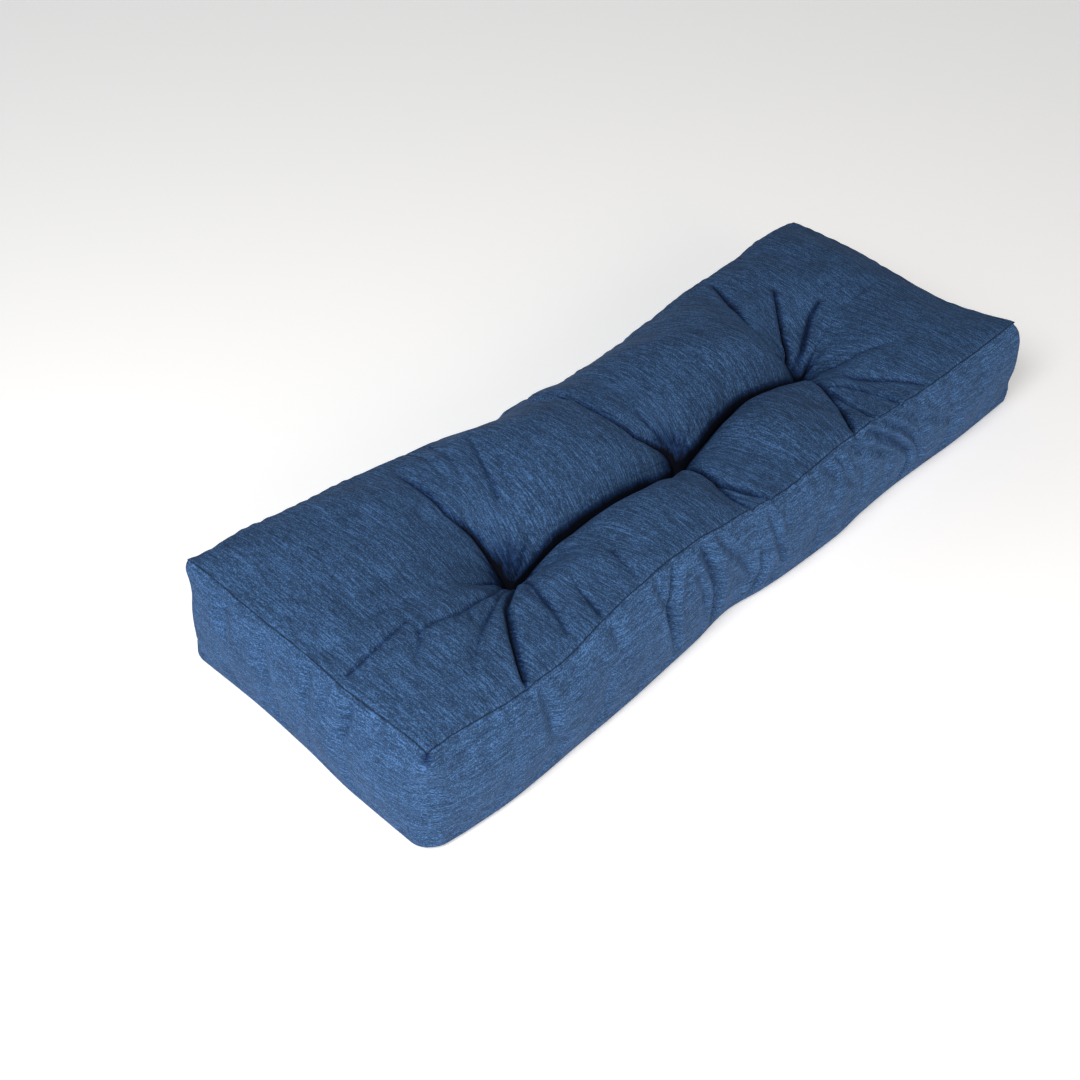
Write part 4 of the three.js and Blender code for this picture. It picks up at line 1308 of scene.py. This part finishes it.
class StudioStage(PropertyGroup):
    """Camera and light."""

    lens: FloatProperty(
        name="Lens", description="Focal length on a 36 mm sensor", default=49.61,
        subtype="DISTANCE_CAMERA",
    )
    azimuth: FloatProperty(
        name="Azimuth", description="Camera's turn round the cushion",
        default=math.radians(-48.81), subtype="ANGLE",
    )
    elevation: FloatProperty(
        name="Elevation", description="Camera's height above the horizon",
        default=math.radians(40.17), subtype="ANGLE",
    )
    roll: FloatProperty(
        name="Roll", description="Camera's roll", default=math.radians(2.95), subtype="ANGLE"
    )
    place: FloatVectorProperty(
        name="Place", description="Camera's place", default=(-1.28823, -0.9387, 1.287),
        subtype="TRANSLATION",
    )
    front_power: FloatProperty(
        name="Front light", description="Power of the softbox in front", default=12.0,
        subtype="POWER",
    )
    top_power: FloatProperty(
        name="Top light", description="Power of the softbox above the left end", default=44.0,
        subtype="POWER",
    )
    walls: FloatProperty(
        name="Walls", description="Brightness of the white studio walls", default=0.95, min=0.0
    )
    floor_glow: FloatProperty(
        name="Floor glow", description="Light that comes up through the white floor",
        default=0.35, min=0.0,
    )


class CUSHION_OT_sew_cover(Operator):
    """Cut, sew, stuff and tuft the cover"""

    bl_idname = "cushion.sew_cover"
    bl_label = "Sew Cover"

    def execute(self, context):
        scene = context.scene
        made = cover_object(scene.cushion_cover)
        if not made.data.polygons:
            raise RuntimeError("the cover has no faces")
        colours = scene.cushion_colours
        # The band is a lighter copy of the cloth than the top: partly its turned weave, partly painted
        # light, as the sides catch more of the low light.
        panel = melange_cloth("Melange polyester panel", colours, (1.3, 0.65, 0.95), 0.9)
        band = melange_cloth("Melange polyester band", colours, (1.1, 0.5, 1.05), 1.03)
        made.data.materials.append(panel)
        made.data.materials.append(band)
        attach(made, "root")
        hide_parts(CUSHION)
        return {"FINISHED"}


class CUSHION_OT_sew_stitches(Operator):
    """Stitch the seam round the top and tie the three tufts"""

    bl_idname = "cushion.sew_stitches"
    bl_label = "Sew Stitches"

    def execute(self, context):
        scene = context.scene
        cover = scene.objects.get("cushion_cover")
        if cover is None:
            raise RuntimeError("there is no cover to stitch")
        settings, sizes = scene.cushion_cover, scene.cushion_stitches
        rows_i = settings.coarse_length * settings.fine + 1
        rows_j = (settings.coarse_near + settings.coarse_far) * settings.fine + 1
        points = read_points(cover.data)
        panel = points[: rows_i * rows_j].reshape(rows_i, rows_j, 3)
        seam = PanelGrid.ring(panel) + (0.0, 0.0, STITCH_LIFT)
        tree = stitch_tree()
        thread = sewing_thread("Spun polyester sewing thread", scene.cushion_colours)
        common = {"Seed": sizes.seed, "Material": thread}
        sewn = {"Pitch": sizes.pitch, "Length": sizes.length, "Thread": sizes.thread}
        sewn.update(common, Rise=0.0006, Slant=0.08)
        seams = sew("seam_stitches", [seam], True, tree, sewn)
        lines = [self.tuft_line(panel, x, y, sizes) for x, y in rows_of(TUFTS, "x y")]
        tied = {"Pitch": sizes.tuft_length / 2, "Length": sizes.tuft_length}
        tied.update(common, Thread=sizes.tuft_thread, Rise=0.002, Slant=0.35)
        tufts = sew("tuft_threads", lines, False, tree, tied)
        for made in (seams, tufts):
            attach(made, "root")
        return {"FINISHED"}

    @staticmethod
    def tuft_line(panel, x, y, sizes):
        """A short line across the floor of a tuft's pit, for its stitches."""
        middle = to_frame((x, y, 0.0))[0]
        away = np.hypot(panel[..., 0] - middle[0], panel[..., 1] - middle[1])
        floor = panel[away < PIT_SEARCH]
        low = floor[np.argmin(floor[:, 2])] + (0.0, 0.0, sizes.tuft_thread / 2)
        reach = np.array([sizes.tuft_length / 4, 0.0, 0.0])
        return np.array([low - reach, low + reach])


class CUSHION_OT_set_stage(Operator):
    """Lay the pale floor, hang the soft lights and place the camera"""

    bl_idname = "cushion.set_stage"
    bl_label = "Set Stage"

    def execute(self, context):
        scene = context.scene
        stage = scene.cushion_stage
        half = FLOOR_HALF
        corners = [(-half, -half, 0.0), (half, -half, 0.0), (half, half, 0.0), (-half, half, 0.0)]
        floor = mesh_object("floor", np.array(corners) - (0, 0, FLOOR_DROP), [(0, 1, 2, 3)])
        floor.data.materials.append(self.pale_floor(stage.floor_glow))
        self.studio(scene, stage.walls)
        self.area_light("front softbox", (-0.5, -2.2, 1.3), 1.0, stage.front_power, "#FFE4C9")
        self.area_light("top softbox", (-1.7, -0.5, 1.9), 1.1, stage.top_power, "#FFFFFF")
        self.camera(scene, stage)
        scene.view_settings.view_transform = "Standard"
        return {"FINISHED"}

    @staticmethod
    def pale_floor(glow):
        """Matt white light table: an opal sheet, with a little light coming up through it."""
        material = bpy.data.materials.new("Opal acrylic light table")
        tree = empty_tree(material)
        inputs = {
            "Base Color": to_linear("#F4F4F4"),
            "Roughness": 0.9,
            "Emission Color": to_linear("#FFFFFF"),
            "Emission Strength": glow,
        }
        shader = add_node(tree, "ShaderNodeBsdfPrincipled", inputs)
        add_node(tree, "ShaderNodeOutputMaterial", {"Surface": shader.outputs[0]})
        return material

    @staticmethod
    def studio(scene, walls):
        """White walls all round, brighter on the left, that fade up to a dark ceiling."""
        world = bpy.data.worlds.new("White studio walls")
        tree = empty_tree(world)
        way = add_node(tree, "ShaderNodeTexCoord").outputs["Generated"]
        height = add_node(tree, "ShaderNodeSeparateXYZ", {"Vector": way}).outputs["Z"]
        inputs = {"Value": height, "From Min": 0.35, "From Max": 0.75, "To Min": 1.0, "To Max": 0.0}
        fade = add_node(tree, "ShaderNodeMapRange", inputs, interpolation_type="SMOOTHSTEP").outputs[0]
        inputs = {0: way, 1: (-0.9, -0.4, 0.0)}
        side = add_node(tree, "ShaderNodeVectorMath", inputs, operation="DOT_PRODUCT")
        inputs = {"Value": side.outputs["Value"], "From Min": -1.0, "To Min": 0.5, "To Max": 1.35}
        share = add_node(tree, "ShaderNodeMapRange", inputs).outputs[0]
        level = add_node(tree, "ShaderNodeMath", {0: fade, 1: share}, operation="MULTIPLY").outputs[0]
        background = add_node(tree, "ShaderNodeBackground", {"Color": level, "Strength": walls})
        add_node(tree, "ShaderNodeOutputWorld", {"Surface": background.outputs[0]})
        scene.world = world

    @staticmethod
    def area_light(name, place, size, power, colour):
        """A round softbox that faces the middle of the cushion."""
        data = bpy.data.lights.new(name, "AREA")
        data.shape = "DISK"
        data.size = size
        data.energy = power
        data.color = to_linear(colour)[:3]
        lamp = add_object(name, data)
        lamp.location = place
        lamp.rotation_euler = (-Vector(place)).to_track_quat("-Z", "Y").to_euler()

    @staticmethod
    def camera(scene, stage):
        """The camera where it stood for the photo, turned and rolled as it was."""
        data = bpy.data.cameras.new("camera")
        data.lens = stage.lens
        data.sensor_width = 36.0
        data.clip_end = 100.0
        camera = add_object("camera", data)
        azimuth, elevation = stage.azimuth, stage.elevation
        back = Vector((
            math.sin(azimuth) * math.cos(elevation),
            -math.cos(azimuth) * math.cos(elevation),
            math.sin(elevation),
        ))
        level = Vector((math.cos(azimuth), math.sin(azimuth), 0.0))
        upright = back.cross(level)
        right = level * math.cos(stage.roll) + upright * math.sin(stage.roll)
        up = back.cross(right)
        turn = Matrix((right, up, back)).transposed().to_4x4()
        camera.matrix_world = Matrix.Translation(Vector(stage.place)) @ turn
        scene.camera = camera


class CUSHION_PT_maker(Panel):
    """Sidebar panel that lists the steps."""

    bl_label = "Pallet Back Cushion"
    bl_space_type = "VIEW_3D"
    bl_region_type = "UI"
    bl_category = "Cushion"

    def draw(self, context):
        for group in GROUPS:
            settings = getattr(context.scene, group)
            box = self.layout.box()
            for name in settings.__annotations__:
                box.prop(settings, name)
        for step in OPERATORS:
            self.layout.operator(step.bl_idname)


GROUPS = {
    "cushion_cover": CushionCover,
    "cushion_stitches": SeamStitches,
    "cushion_colours": ClothColours,
    "cushion_stage": StudioStage,
}
OPERATORS = (CUSHION_OT_sew_cover, CUSHION_OT_sew_stitches, CUSHION_OT_set_stage)
CLASSES = (*GROUPS.values(), *OPERATORS, CUSHION_PT_maker)


def register():
    for entry in CLASSES:
        bpy.utils.register_class(entry)
    for name, group in GROUPS.items():
        setattr(bpy.types.Scene, name, PointerProperty(type=group))


def unregister():
    for name in reversed(GROUPS):
        delattr(bpy.types.Scene, name)
    for entry in reversed(CLASSES):
        bpy.utils.unregister_class(entry)


def main():
    """Runs the steps in order."""
    register()
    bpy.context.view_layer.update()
    bpy.ops.cushion.sew_cover()
    bpy.ops.cushion.sew_stitches()
    bpy.ops.cushion.set_stage()


if __name__ == "__main__":
    main()
